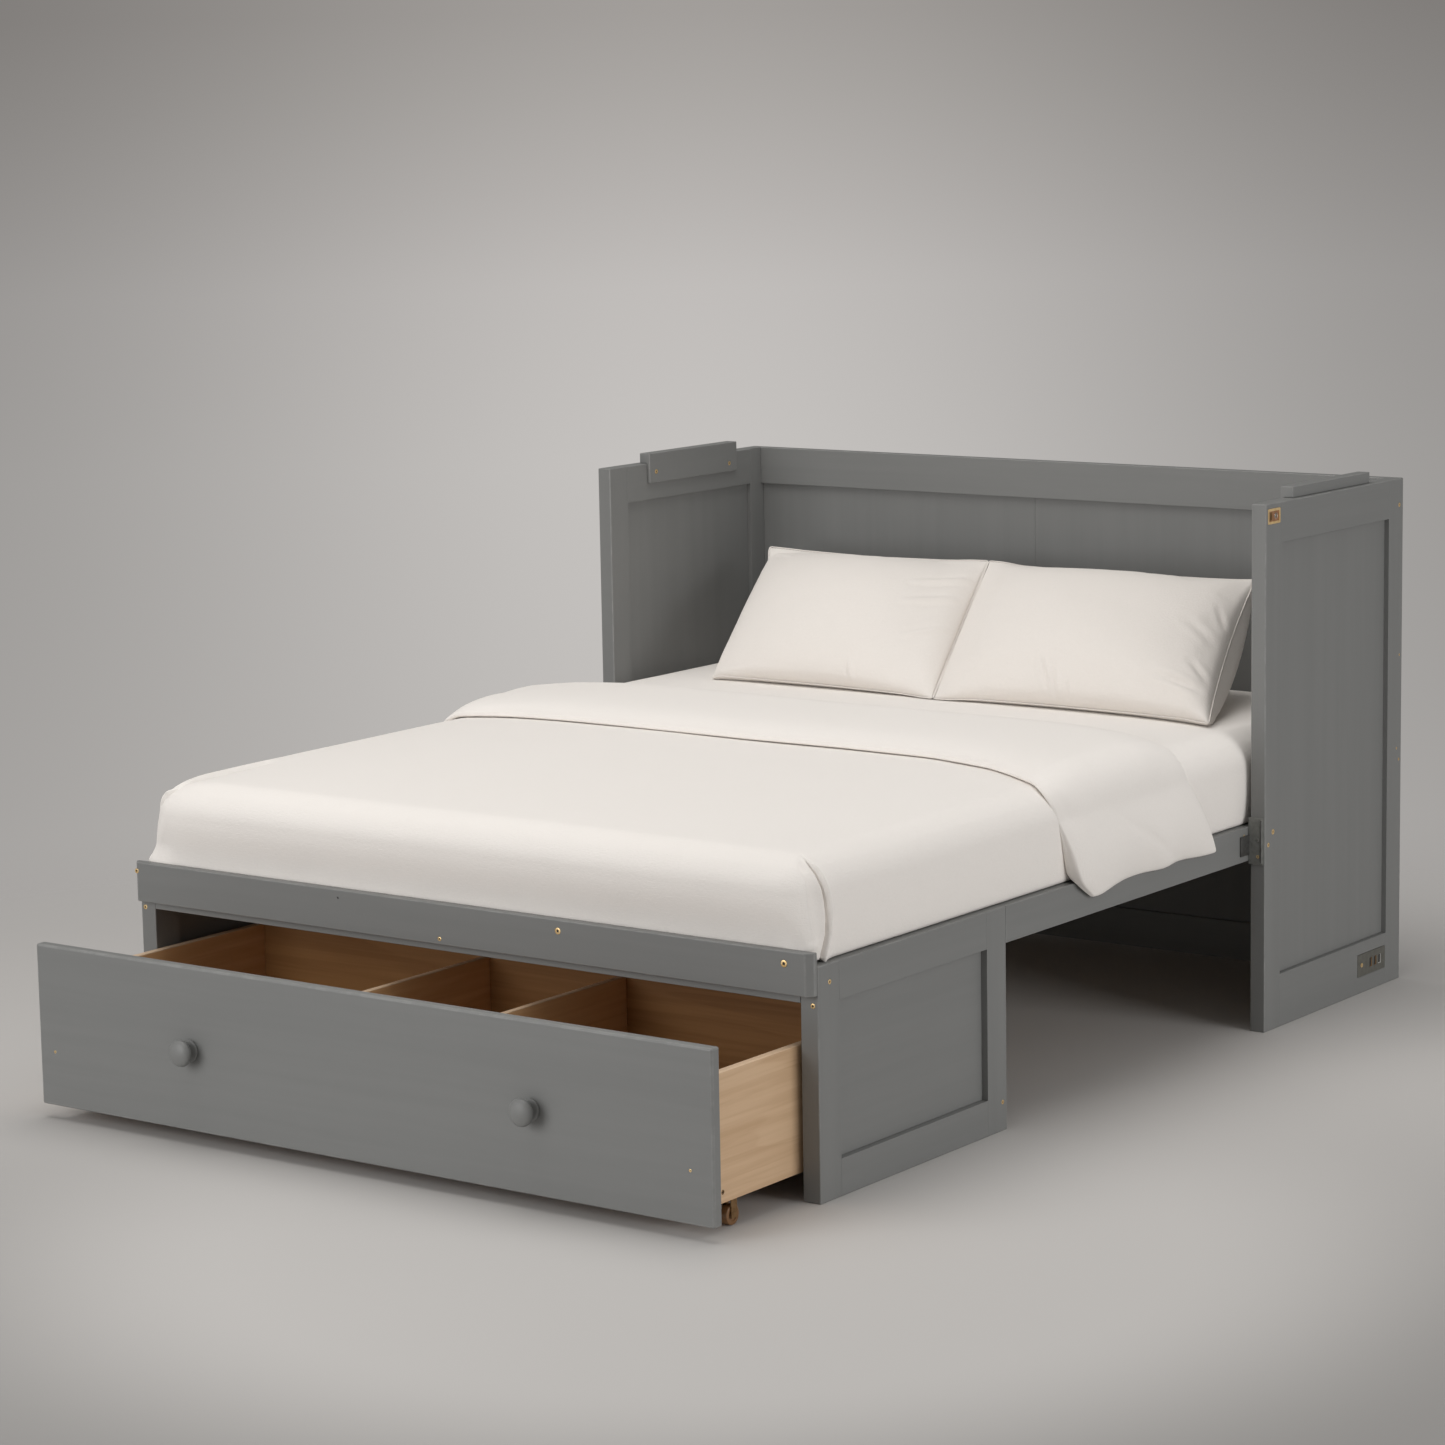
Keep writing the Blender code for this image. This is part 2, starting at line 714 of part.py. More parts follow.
def stations(half, radius, corner_steps, inner_steps):
    """Places along one axis of a soft block: close together at its rounded edges, wide between."""
    ends = [half - radius + radius * step / corner_steps for step in range(corner_steps + 1)]
    inner = half - radius
    middle = [-inner + 2 * inner * step / inner_steps for step in range(1, inner_steps)]
    return [-place for place in reversed(ends)] + middle + ends


def mattress_ends():
    """Where the mattress starts at the foot and stops at the head."""
    return (foot_front_y + mattress_foot_clearance, back_panel_front_y - mattress_head_clearance)


def mattress_top(x, y):
    """Height of the mattress's crowned top: it falls evenly to the sides, and late to the ends."""
    half_x = mattress_width / 2
    low_y, high_y = mattress_ends()
    middle_y = (low_y + high_y) / 2
    half_y = (high_y - low_y) / 2
    rise = mattress_crown * (1 - (x / half_x) ** 2) * (1 - ((y - middle_y) / half_y) ** 6)
    return mattress_bottom + mattress_thickness + max(0.0, rise)


def make_mattress():
    """The mattress in its cover: a block with rolled edges, a crowned top and soft sides."""
    low_y, high_y = mattress_ends()
    half = Vector((mattress_width / 2, (high_y - low_y) / 2, mattress_thickness / 2))
    middle = Vector((0.0, (low_y + high_y) / 2, mattress_bottom + mattress_thickness / 2))
    radius = mattress_edge_radius
    places = [
        stations(half.x, radius, mattress_edge_steps, 8),
        stations(half.y, radius, mattress_edge_steps, 12),
        stations(half.z, radius, mattress_edge_steps, 2),
    ]
    shape = bmesh.new()
    found = {}

    def corner(i, j, k):
        if (i, j, k) not in found:
            flat = Vector((places[0][i], places[1][j], places[2][k]))
            core = Vector([max(-h + radius, min(h - radius, value)) for h, value in zip(half, flat)])
            out = flat - core
            point = core + out.normalized() * radius if out.length > 0 else flat
            level = point.z / half.z
            swell = mattress_side_swell * (1 - level ** 2)
            if abs(flat.x) > half.x - radius:
                point.x -= math.copysign(mattress_side_swell - swell, point.x)
            if level > 0:
                crown = mattress_top(point.x, point.y + middle.y) - mattress_bottom - mattress_thickness
                point.z += crown * level
            found[(i, j, k)] = shape.verts.new(point)
        return found[(i, j, k)]

    last = [len(line) - 1 for line in places]
    for fixed in range(3):
        first, second = [number for number in range(3) if number != fixed]
        for end in (0, last[fixed]):
            for a in range(last[first]):
                for b in range(last[second]):
                    ring = []
                    for da, db in ((0, 0), (1, 0), (1, 1), (0, 1)):
                        index = [0, 0, 0]
                        index[fixed] = end
                        index[first] = a + da
                        index[second] = b + db
                        ring.append(corner(*index))
                    shape.faces.new(ring)
    mesh = finished_mesh("mattress", shape)
    mesh.shade_smooth()
    link(mesh, "mattress", middle, linen, 0.90)


def edge_angles():
    """The angles at which the mattress's rolled edge has its corners, from its top to its side."""
    first = [math.atan(step / mattress_edge_steps) for step in range(1, mattress_edge_steps + 1)]
    return first + [math.pi / 2 - angle for angle in reversed(first[:-1])] + [math.pi / 2]


def duvet_half_path(steps_across, steps_down):
    """Half of the line, as (x, z), that the turned-back duvet's underside follows: over and down."""
    half_x = mattress_width / 2
    radius = mattress_edge_radius
    level = mattress_bottom + mattress_thickness
    hem_x = foot_box_width / 2 + duvet_flap_outset
    hem_z = bed_rail_top - duvet_flap_drop
    side_x = half_x + soft_clearance
    path = []
    for step in range(steps_across + 1):
        x = (half_x - radius) * step / steps_across
        path.append((x, level + mattress_crown * (1 - (x / half_x) ** 2) + soft_clearance))
    start_z = path[-1][1]
    for angle in edge_angles():
        x = half_x - radius + (radius + soft_clearance) * math.sin(angle)
        path.append((x, start_z - (radius + soft_clearance) * (1 - math.cos(angle))))
    shoulder_z = path[-1][1]
    for step in range(1, steps_down + 1):
        share = step / steps_down
        x = side_x + (hem_x - side_x) * math.sin(math.pi / 2 * min(1.0, share / duvet_flare_share))
        path.append((x, shoulder_z + (hem_z - shoulder_z) * share))
    return path


def make_duvet():
    """The duvet's turned-back band: it lies over the mattress and hangs outside both rails."""
    steps_across, steps_down = 9, 5
    half_path = duvet_half_path(steps_across, steps_down)
    full = [(-x, z) for x, z in reversed(half_path)][:-1] + half_path
    lengths = [0.0]
    for (x0, z0), (x1, z1) in zip(half_path, half_path[1:]):
        lengths.append(lengths[-1] + math.hypot(x1 - x0, z1 - z0))
    shares = [length / lengths[-1] for length in lengths]
    shares = list(reversed(shares))[:-1] + shares
    shoulder_share = lengths[-1 - steps_down] / lengths[-1]
    around = 8
    shape = bmesh.new()
    rings = []
    for number, (x, z) in enumerate(full):
        before = full[max(0, number - 1)]
        after = full[min(len(full) - 1, number + 1)]
        along = Vector((after[0] - before[0], 0.0, after[1] - before[1])).normalized()
        outward = Vector((-along.z, 0.0, along.x))
        share = shares[number]
        hang = max(0.0, (share - shoulder_share) / (1 - shoulder_share))
        rise = min(1.0, share / shoulder_share)
        front = cabinet_front_y - duvet_foot_reach - duvet_shoulder_slant * rise ** 6 * (1 - hang)
        back = cabinet_front_y - duvet_head_reach + duvet_hem_slant * hang
        thinned = min(1.0, 2 * hang)
        thickness = duvet_thickness + (duvet_flap_thickness - duvet_thickness) * thinned
        ring = []
        for step in range(around + 1):
            place = step / around
            y = front + (back - front) * place
            ring.append(shape.verts.new(Vector((x, y, z))))
        for step in range(around + 1):
            place = 1 - step / around
            y = front + (back - front) * place
            plump = abs(math.sin(math.pi * place)) ** (1 / duvet_fold_count)
            fullness = duvet_edge_share + (1 - duvet_edge_share) * plump
            fold = duvet_fold_depth * hang * (1 + math.cos(2 * math.pi * duvet_fold_count * place)) / 2
            ring.append(shape.verts.new(Vector((x, y, z)) + outward * (thickness * fullness + fold)))
        rings.append(ring)
    count = len(rings[0])
    for first, second in zip(rings, rings[1:]):
        for number in range(count):
            following = (number + 1) % count
            shape.faces.new((first[number], first[following], second[following], second[number]))
    last = count - 1
    for ring in (rings[0], rings[-1]):
        for step in range(around):
            shape.faces.new((ring[step], ring[step + 1], ring[last - 1 - step], ring[last - step]))
    mesh = finished_mesh("duvet", shape)
    mesh.shade_smooth()
    link(mesh, "duvet", (0.0, 0.0, 0.0), linen, 0.90)


def make_pillow(name, left_x, width):
    """A filled pillow, propped on its own belly: crowned in front, flat where it lies on the bed."""
    across, along = 16, 12
    tilt = math.radians(pillow_tilt_degrees)
    front_y = cabinet_front_y + pillow_front_reach
    middle_x = left_x + width / 2
    base = Vector((middle_x, front_y, mattress_top(middle_x, front_y) + pillow_front_lift))
    up = Vector((-pillow_top_lean / pillow_depth, math.cos(tilt), math.sin(tilt)))
    outward = Vector((0.0, -math.sin(tilt), math.cos(tilt)))
    middle = base + up * pillow_depth / 2
    shape = bmesh.new()
    sides = {1: {}, -1: {}}
    for i in range(across + 1):
        for j in range(along + 1):
            u = math.sin(math.pi / 2 * (2 * i / across - 1))
            v = math.sin(math.pi / 2 * (2 * j / along - 1))
            x = width / 2 * u * (1 - pillow_drawn_in_share * (1 - v ** 2))
            y = pillow_depth / 2 * v * (1 - pillow_drawn_in_share * (1 - u ** 2))
            fullness = math.sqrt(max(0.0, (1 - u ** 2) * (1 - v ** 2)))
            on_seam = i in (0, across) or j in (0, along)
            for face in (1, -1):
                if face < 0 and on_seam:
                    sides[face][(i, j)] = sides[1][(i, j)]
                    continue
                loft = pillow_loft if face > 0 else pillow_belly
                point = middle + Vector((x, 0.0, 0.0)) + up * y + outward * (face * loft * fullness)
                floor = mattress_top(point.x, point.y) + soft_clearance
                if face < 0 or on_seam:
                    point.z = max(point.z, floor)
                sides[face][(i, j)] = shape.verts.new(point)
    for face, grid in sides.items():
        for i in range(across):
            for j in range(along):
                corners = ((i, j), (i + 1, j), (i + 1, j + 1), (i, j + 1))
                shape.faces.new([grid[corner] for corner in corners])
    mesh = finished_mesh(name, shape)
    mesh.shade_smooth()
    link(mesh, name, (0.0, 0.0, 0.0), linen, 0.90)


def make_bedding():
    """Mattress, turned-back duvet and two pillows."""
    make_mattress()
    make_duvet()
    right_start = mattress_width / 2 - pillow_right_setback - pillow_right_width
    left_start = pillow_left_setback - mattress_width / 2
    make_pillow("pillow_right", right_start, pillow_right_width)
    make_pillow("pillow_left", left_start, right_start - pillow_gap - left_start)


for side, word in ((-1, "left"), (1, "right")):
    lower_rail = make_cabinet_side(side, word)
    if side > 0:
        make_outlet(lower_rail)
    make_foot_side(side, word)
    make_side_rail(side, word)
make_cabinet_back()
make_foot_cross_members()
make_decks()
make_drawer()
make_bedding()
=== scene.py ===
# %% [markdown]
# # A cabinet bed, dressed in Blender
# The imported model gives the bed's true shape, with plain solids for the bedding. This lesson adds
# a camera and soft light, eased board edges, paint over grain, small fittings, and bedding with
# seams and folds. Every new piece stays where its solid is, so the drawer still slides.

# %% Load the frame
import json
import math
from contextlib import contextmanager

import bmesh
import bpy
import numpy as np
from mathutils import Matrix, Vector, noise

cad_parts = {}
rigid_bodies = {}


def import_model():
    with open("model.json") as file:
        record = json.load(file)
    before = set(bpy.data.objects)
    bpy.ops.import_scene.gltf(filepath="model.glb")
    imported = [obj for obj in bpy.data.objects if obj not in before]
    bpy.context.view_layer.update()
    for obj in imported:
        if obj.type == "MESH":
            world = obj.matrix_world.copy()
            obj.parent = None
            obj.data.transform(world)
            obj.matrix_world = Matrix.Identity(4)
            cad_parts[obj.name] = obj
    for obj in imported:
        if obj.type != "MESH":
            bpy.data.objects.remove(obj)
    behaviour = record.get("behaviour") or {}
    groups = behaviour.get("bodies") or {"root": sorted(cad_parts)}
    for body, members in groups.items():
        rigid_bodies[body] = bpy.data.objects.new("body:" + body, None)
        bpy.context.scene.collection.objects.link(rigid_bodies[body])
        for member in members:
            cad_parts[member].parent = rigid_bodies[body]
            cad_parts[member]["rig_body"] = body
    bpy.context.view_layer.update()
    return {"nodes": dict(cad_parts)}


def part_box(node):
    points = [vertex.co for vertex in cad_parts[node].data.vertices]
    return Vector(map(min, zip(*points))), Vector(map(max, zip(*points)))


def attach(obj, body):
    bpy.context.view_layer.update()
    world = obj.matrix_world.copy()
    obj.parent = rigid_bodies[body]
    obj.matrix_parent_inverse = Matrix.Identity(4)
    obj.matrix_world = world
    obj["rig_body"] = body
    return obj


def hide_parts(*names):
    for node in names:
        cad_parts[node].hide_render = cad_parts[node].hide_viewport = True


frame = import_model()
nodes = frame["nodes"]

# %% [markdown]
# A fresh Blender may hold a cube, a lamp and a camera, which go. What is left selected after
# loading is let go too, because an operator acts on all that is selected.


# %% Clear what isn't the bed
def let_go():
    """Leave nothing selected."""
    for piece in list(bpy.context.selected_objects):
        piece.select_set(False)


def take(piece):
    """Select one piece and make it the active one."""
    let_go()
    piece.select_set(True)
    bpy.context.view_layer.objects.active = piece


for stray in list(bpy.data.objects):
    if "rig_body" not in stray and not stray.name.startswith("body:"):
        bpy.data.objects.remove(stray, do_unlink=True)
let_go()
scene = bpy.context.scene

# %% [markdown]
# The camera stands at the right of the bed's foot, as high as a tall person's eyes, and far off
# with a long lens, which keeps the boards' edges nearly parallel. Its place, turn and focal length
# were worked out from the corners of the cabinet and of the foot box.

# %% Camera
camera_place = Vector((4.5971, -6.3254, 1.8944))
camera_turn, camera_dip, camera_roll = map(math.radians, (36.2672, 9.1154, -1.0141))
focal_pixels, picture_pixels, sensor_mm = 4082.08, 1445, 36.0
ahead = Vector((
    -math.sin(camera_turn) * math.cos(camera_dip),
    math.cos(camera_turn) * math.cos(camera_dip),
    -math.sin(camera_dip),
))
level_right = Vector((math.cos(camera_turn), math.sin(camera_turn), 0.0))
level_up = level_right.cross(ahead)
across = math.cos(camera_roll) * level_right + math.sin(camera_roll) * level_up
up = math.cos(camera_roll) * level_up - math.sin(camera_roll) * level_right
lens = bpy.data.cameras.new("camera")
lens.sensor_width = sensor_mm
lens.lens = focal_pixels / picture_pixels * sensor_mm
lens.clip_end = 200.0
camera = bpy.data.objects.new("camera", lens)
scene.collection.objects.link(camera)
facing = Matrix((across, up, -ahead)).transposed().to_4x4()
camera.matrix_world = Matrix.Translation(camera_place) @ facing
scene.camera = camera
scene.view_settings.view_transform = "Standard"
print("lens:", round(lens.lens, 1), "mm")

# %% [markdown]
# Two small helpers make node trees read like sums. `Value` wraps an output socket, so that `grain
# * 0.2 + 0.4` adds the Math nodes for it. `Finish` holds one node tree, and its `node` method
# makes any other node from its settings and inputs.


# %% Shader helpers
class Value:
    """An output socket that can be added, subtracted and multiplied like a number."""

    def __init__(self, finish, socket):
        self.finish, self.socket = finish, socket


def maths(operation, swapped):
    """A method that adds one Math node, with its two sides swapped where the number comes first."""
    def method(self, other):
        first, second = (other, self) if swapped else (self, other)
        return self.finish.node("ShaderNodeMath", {"operation": operation}, {0: first, 1: second})

    return method


for word, operation in (("add", "ADD"), ("sub", "SUBTRACT"), ("mul", "MULTIPLY")):
    setattr(Value, f"__{word}__", maths(operation, False))
    setattr(Value, f"__r{word}__", maths(operation, True))


class Finish:
    """The node tree of one material, or of another owner, and its Principled shader."""

    def __init__(self, name, owner=None, **constants):
        self.material = owner or bpy.data.materials.new(name)
        self.material.use_nodes = True
        self.tree = self.material.node_tree
        self.shader = self.tree.nodes.get("Principled BSDF")
        self.drive(**constants)

    def node(self, kind, settings=None, inputs=None, output=0):
        made = self.tree.nodes.new(kind)
        for setting, value in (settings or {}).items():
            setattr(made, setting, value)
        for socket, value in (inputs or {}).items():
            self.feed(made.inputs[socket], value)
        return Value(self, made.outputs[output])

    def feed(self, socket, value):
        if isinstance(value, Value):
            self.tree.links.new(value.socket, socket)
        elif isinstance(value, tuple) and socket.type == "RGBA":
            socket.default_value = (*value, 1.0)
        else:
            socket.default_value = value

    def drive(self, **sockets):
        for socket, value in sockets.items():
            self.feed(self.shader.inputs[socket.replace("_", " ")], value)

    def place(self, scale=(1.0, 1.0, 1.0), shift=(0.0, 0.0, 0.0), source="Object"):
        spot = self.node("ShaderNodeTexCoord", output=source)
        return self.node(
            "ShaderNodeMapping", None, {"Vector": spot, "Location": shift, "Scale": scale},
        )

    def noise(self, scale, detail=3.0, roughness=0.5, distortion=0.0, **places):
        """Noise with one scale, or with one for each axis."""
        stretched = isinstance(scale, tuple)
        return self.node("ShaderNodeTexNoise", None, {
            "Vector": self.place(scale, **places) if stretched else self.place(),
            "Scale": 1.0 if stretched else scale, "Detail": detail, "Roughness": roughness,
            "Distortion": distortion,
        })

    def blend(self, factor, first, second):
        return self.node(
            "ShaderNodeMix", {"data_type": "RGBA"}, {0: factor, 6: first, 7: second}, output=2,
        )

    def ease(self, value, low, high, to_low=0.0, to_high=1.0):
        return self.node("ShaderNodeMapRange", {"interpolation_type": "SMOOTHSTEP"}, {
            0: value, 1: low, 2: high, 3: to_low, 4: to_high,
        })

    def bump(self, height, distance, strength):
        self.drive(Normal=self.node("ShaderNodeBump", None, {
            "Height": height, "Distance": distance, "Strength": strength,
        }))

    def looked_at(self):
        """1 for what is looked at, in a mirror or through glass too, and 0 for scattered light."""
        path = self.node("ShaderNodeLightPath")
        rays = path.socket.node.outputs
        return path + Value(self, rays["Is Glossy Ray"]) + Value(self, rays["Is Transmission Ray"])


print("shader helpers ready")

# %% [markdown]
# The floor is one wide, plain sheet. Its colour holds painted light and shade: pale in a painted
# pool of light at the front right corner of the foot box and in a wide one behind the cabinet's
# left, and darker elsewhere. It takes the bed's shadow near by, and farther off it fades into the
# backdrop, so that its end isn't seen.

# %% Studio floor
floor_radius = 60.0
painted_pool_near, painted_pool_far = ((0.75, -1.15), (0.75, 1.42)), ((-1.2, 2.0), (2.7, 4.4))
lit_spot = ((0.5, -0.8), (1.9, 3.8))
bpy.ops.mesh.primitive_circle_add(
    vertices=96, radius=floor_radius, fill_type="NGON", location=(0, 0, 0),
)
floor = bpy.context.object
floor.name = "studio_floor"
floor_finish = Finish("studio_floor", Roughness=0.8, Specular_IOR_Level=0.3)


def beyond(middle, reach):
    """0 near an upright line over a point (X, Y) of the floor, and 1 far from it."""
    away = floor_finish.node(
        "ShaderNodeVectorMath", {"operation": "LENGTH"},
        {0: floor_finish.place((1.0, 1.0, 0.0), (-middle[0], -middle[1], 0.0))}, output=1,
    )
    return floor_finish.ease(away, *reach)


# painted light and shade: 0 in the two pools, where the floor is pale, and 1 away from them, where
# it is darker; a little noise adds random tone
painted_light_falloff = beyond(*painted_pool_near) * beyond(*painted_pool_far) * 0.9 + floor_finish.noise(0.6) * 0.1
floor_finish.drive(Base_Color=floor_finish.blend(
    painted_light_falloff, (0.585, 0.567, 0.55), (0.315, 0.305, 0.296),
))
surface = floor_finish.node("ShaderNodeMixShader", None, {
    0: floor_finish.looked_at() * beyond(*lit_spot),
    1: Value(floor_finish, floor_finish.shader.outputs[0]),
    2: floor_finish.node("ShaderNodeBsdfTransparent"),
})
floor_finish.tree.links.new(
    surface.socket, floor_finish.tree.nodes["Material Output"].inputs[0],
)
floor.data.materials.append(floor_finish.material)
print("floor radius:", floor_radius, "m")

# %% [markdown]
# The world lights the bed evenly from all round, which makes the soft dark corners inside the
# cabinet and under the bed. What looks past the bed sees it as a painted backdrop: a pale glow at
# the height of the floor's far end, which falls off to the sides and upwards.

# %% World
world = bpy.data.worlds.new("studio")
scene.world = world
backdrop = Finish("studio", world)
backdrop.tree.nodes.clear()
direction = backdrop.node("ShaderNodeTexCoord", output="Generated")
height = backdrop.node("ShaderNodeSeparateXYZ", None, {0: direction}, output=2)
glow_turn = camera_turn + math.radians(0.3)
sideways = backdrop.node("ShaderNodeVectorMath", {"operation": "DOT_PRODUCT"}, {
    0: direction, 1: (math.cos(glow_turn), math.sin(glow_turn), 0.0),
}, output=1)
aside = backdrop.node("ShaderNodeMath", {"operation": "ABSOLUTE"}, {0: sideways})
low_tone, high_tone = -0.6, 0.4
tones = (
    (0.0, (0.47, 0.455, 0.442)), (0.43, (0.54, 0.52, 0.502)), (0.505, (0.56, 0.54, 0.522)),
    (0.548, (0.53, 0.508, 0.492)), (0.569, (0.47, 0.448, 0.432)), (0.594, (0.405, 0.385, 0.368)),
    (0.613, (0.362, 0.342, 0.326)), (0.7, (0.3, 0.29, 0.28)), (1.0, (0.26, 0.252, 0.244)),
)
rising = backdrop.node("ShaderNodeValToRGB", None, {
    "Fac": (height - low_tone) * (1 / (high_tone - low_tone)),
})
stops = rising.socket.node.color_ramp.elements
while len(stops) < len(tones):
    stops.new(0.5)
for stop, (place, colour) in zip(stops, tones):
    stop.position, stop.color = place, (*colour, 1.0)
side_loss = backdrop.ease(height, -0.4, -0.06, 0.04, 0.41)
chosen = backdrop.node("ShaderNodeMixShader", None, {
    0: backdrop.looked_at(),
    1: backdrop.node("ShaderNodeBackground", None, {
        "Color": (1.0, 0.985, 0.965), "Strength": 0.29,
    }),
    2: backdrop.node("ShaderNodeBackground", None, {
        "Color": rising, "Strength": 1.0 - backdrop.ease(aside, 0.0, 0.2) * side_loss,
    }),
})
exit_node = backdrop.tree.nodes.new("ShaderNodeOutputWorld")
backdrop.tree.links.new(chosen.socket, exit_node.inputs[0])
print("backdrop and even light ready")

# %% [markdown]
# Three wide lamps give the soft light of the picture. The largest hangs over the foot of the bed
# and makes the tops the brightest faces. One stands in front to the left, for the drawer's front,
# and one at the right, where it leaves the side panels one step darker.


# %% Lamps
def lamp(name, place, aim, size, power, colour=(1.0, 1.0, 1.0)):
    """A square area lamp that looks at a point."""
    light = bpy.data.lights.new(name, "AREA")
    light.shape, light.size = "SQUARE", size
    light.energy, light.color = power, colour
    holder = bpy.data.objects.new(name, light)
    scene.collection.objects.link(holder)
    holder.location = place
    holder.rotation_euler = (Vector(aim) - Vector(place)).to_track_quat("-Z", "Y").to_euler()


lamp("lamp_overhead", (-0.3, -0.5, 4.5), (0.0, 0.0, 0.3), 3.6, 104.0, (1.0, 0.985, 0.965))
lamp("lamp_front", (-1.2, -4.8, 1.4), (0.0, -0.9, 0.35), 2.6, 86.0)
lamp("lamp_right", (5.3, 0.1, 1.45), (0.4, 0.2, 0.35), 2.6, 88.0)

# %% [markdown]
# The paint is a satin grey over softwood, whose grain still shows as faint streaks: noise
# stretched along the board, which also drives a very shallow bump. There is one finish for each
# axis. A face value on the eased edges lightens them a little in patches: partly where paint wears
# thin, and partly as a painted highlight along the rounding.


# %% Grey paint over grain
def grain_scale(along, stretch, fine):
    """Noise scale that is low along one axis and high across the two others."""
    return tuple(stretch if axis == along else fine for axis in range(3))


def painted_wood(along):
    """Satin grey paint with grain along X, Y or Z."""
    finish = Finish("painted_wood_" + "xyz"[along], Roughness=0.5, Coat_Roughness=0.35)
    streaks = finish.noise(grain_scale(along, 1.1, 30.0), 4.0, 0.6, 0.4)
    pores = finish.noise(grain_scale(along, 6.0, 420.0), 2.0, shift=(0.3, 0.7, 0.1))
    cloud = finish.noise(3.2, 3.0, 0.55)
    tone = finish.ease(streaks, 0.3, 0.7) * 0.5 + cloud * 0.38 + pores * 0.12
    paint = finish.blend(tone, (0.188, 0.19, 0.186), (0.208, 0.21, 0.205))
    # eased edges are lightened in patches: partly worn paint, partly a painted highlight along the
    # rounding
    wear_and_highlight = finish.node("ShaderNodeAttribute", {"attribute_name": "eased_edge"}, output=2)
    patches = finish.ease(finish.noise(26.0, 4.0, 0.6), 0.4, 0.66, 0.3, 1.0)
    finish.drive(
        Base_Color=finish.blend(wear_and_highlight * patches * 0.5, paint, (0.3, 0.3, 0.292)),
        Roughness=0.42 + cloud * 0.1 + pores * 0.06,
    )
    finish.bump(streaks * 0.5 + pores * 0.5, 0.00018, 0.4)
    return finish.material


paints = [painted_wood(axis) for axis in range(3)]
print("paints:", [paint.name for paint in paints])

# %% [markdown]
# The drawer's boards are light, lacquered wood. A slow noise is turned into broad, faint rings by
# multiplying it and keeping the fraction, and finer streaks give the figure. Inside, the wood is
# warmer and painted darker, as painted shade, and the faces there that look right get a paler wood,
# as painted light. The slats are cheaper wood with finer lines.


# %% Bare wood
def bare_wood(name, along, pale, dark, rings=6.0, roughness=0.5):
    """Clear wood with rings, fibres and figure drawn out along one axis."""
    finish = Finish(name, Roughness=roughness, Coat_Roughness=0.3)
    body = finish.noise(grain_scale(along, 0.9, 9.0), 2.0, 0.45, 0.4, shift=(0.2, 0.4, 0.9))
    bands = finish.node("ShaderNodeMath", {"operation": "FRACT"}, {0: body * rings})
    ring = finish.ease(bands, 0.15, 0.95) * finish.ease(bands, 1.0, 0.93)
    fibre = finish.noise(grain_scale(along, 5.0, 260.0), 3.0, 0.6)
    cloud = finish.noise(2.4, 2.0)
    streaks = finish.noise(grain_scale(along, 2.0, 70.0), 3.0, 0.55, 0.6, shift=(0.6, 0.1, 0.4))
    figure = finish.ease(streaks, 0.38, 0.62)
    finish.drive(
        Base_Color=finish.blend(
            ring * 0.22 + fibre * 0.2 + figure * 0.34 + cloud * 0.2, pale, dark,
        ),
        Roughness=roughness - 0.04 + fibre * 0.1,
        Coat_Weight=0.08 + cloud * 0.06,
    )
    finish.bump(fibre * 0.7 + ring * 0.3, 0.00022, 0.5)
    return finish.material


# the inner woods are darker than the outer ones: painted shade inside the drawer, on wood that is
# also warmer
drawer_woods, inner_shaded_woods = ([
    bare_wood(f"{name}_{'xyz'[axis]}", axis, pale, dark, roughness=roughness) for axis in range(2)
] for name, pale, dark, roughness in (
    ("drawer_wood", (0.7, 0.49, 0.308), (0.52, 0.33, 0.182), 0.5),
    ("inner_shaded_wood", (0.43, 0.222, 0.08), (0.275, 0.125, 0.038), 0.55),
))
# a paler wood for the drawer's inner faces that look right: painted light
painted_light_wood = bare_wood("painted_light_wood", 1, (0.86, 0.56, 0.3), (0.68, 0.39, 0.18))
edge_wood = bare_wood("edge_wood", 1, (0.8, 0.6, 0.42), (0.64, 0.44, 0.28))
slat_wood = bare_wood("slat_wood", 0, (0.6, 0.45, 0.3), (0.42, 0.28, 0.16), 9.0, 0.62)
print("bare woods:", len(drawer_woods) + len(inner_shaded_woods) + 3)

# %% [markdown]
# Small parts: satin brass for plates and screws, bronze for castor forks, dull steel for brackets
# and the outlet, and brown plastic for the wheels. Each gets fine brushing or mottling in its
# roughness, because it is the broken reflection that says metal, not the colour.


# %% Metal and plastic
def metal(name, colour, dull, roughness, brushing, metallic=1.0):
    """A metal with fine scratches and a faint tarnish."""
    finish = Finish(name, Metallic=metallic)
    scratches = finish.noise((brushing, brushing * 6.0, brushing * 6.0), 3.0, 0.6)
    tarnish = finish.ease(finish.noise(90.0, 3.0, 0.6), 0.35, 0.75)
    finish.drive(
        Base_Color=finish.blend(tarnish, colour, dull), Roughness=roughness + scratches * 0.16,
    )
    finish.bump(scratches, 0.00008, 0.6)
    return finish.material


def plastic(name, dark, pale, grain, roughness, spread, relief):
    """A moulded plastic with a fine speckle."""
    finish = Finish(name)
    speckle = finish.noise(*grain)
    finish.drive(
        Base_Color=finish.blend(speckle, dark, pale), Roughness=roughness + speckle * spread,
    )
    if relief:
        finish.bump(speckle, relief, 0.5)
    return finish.material


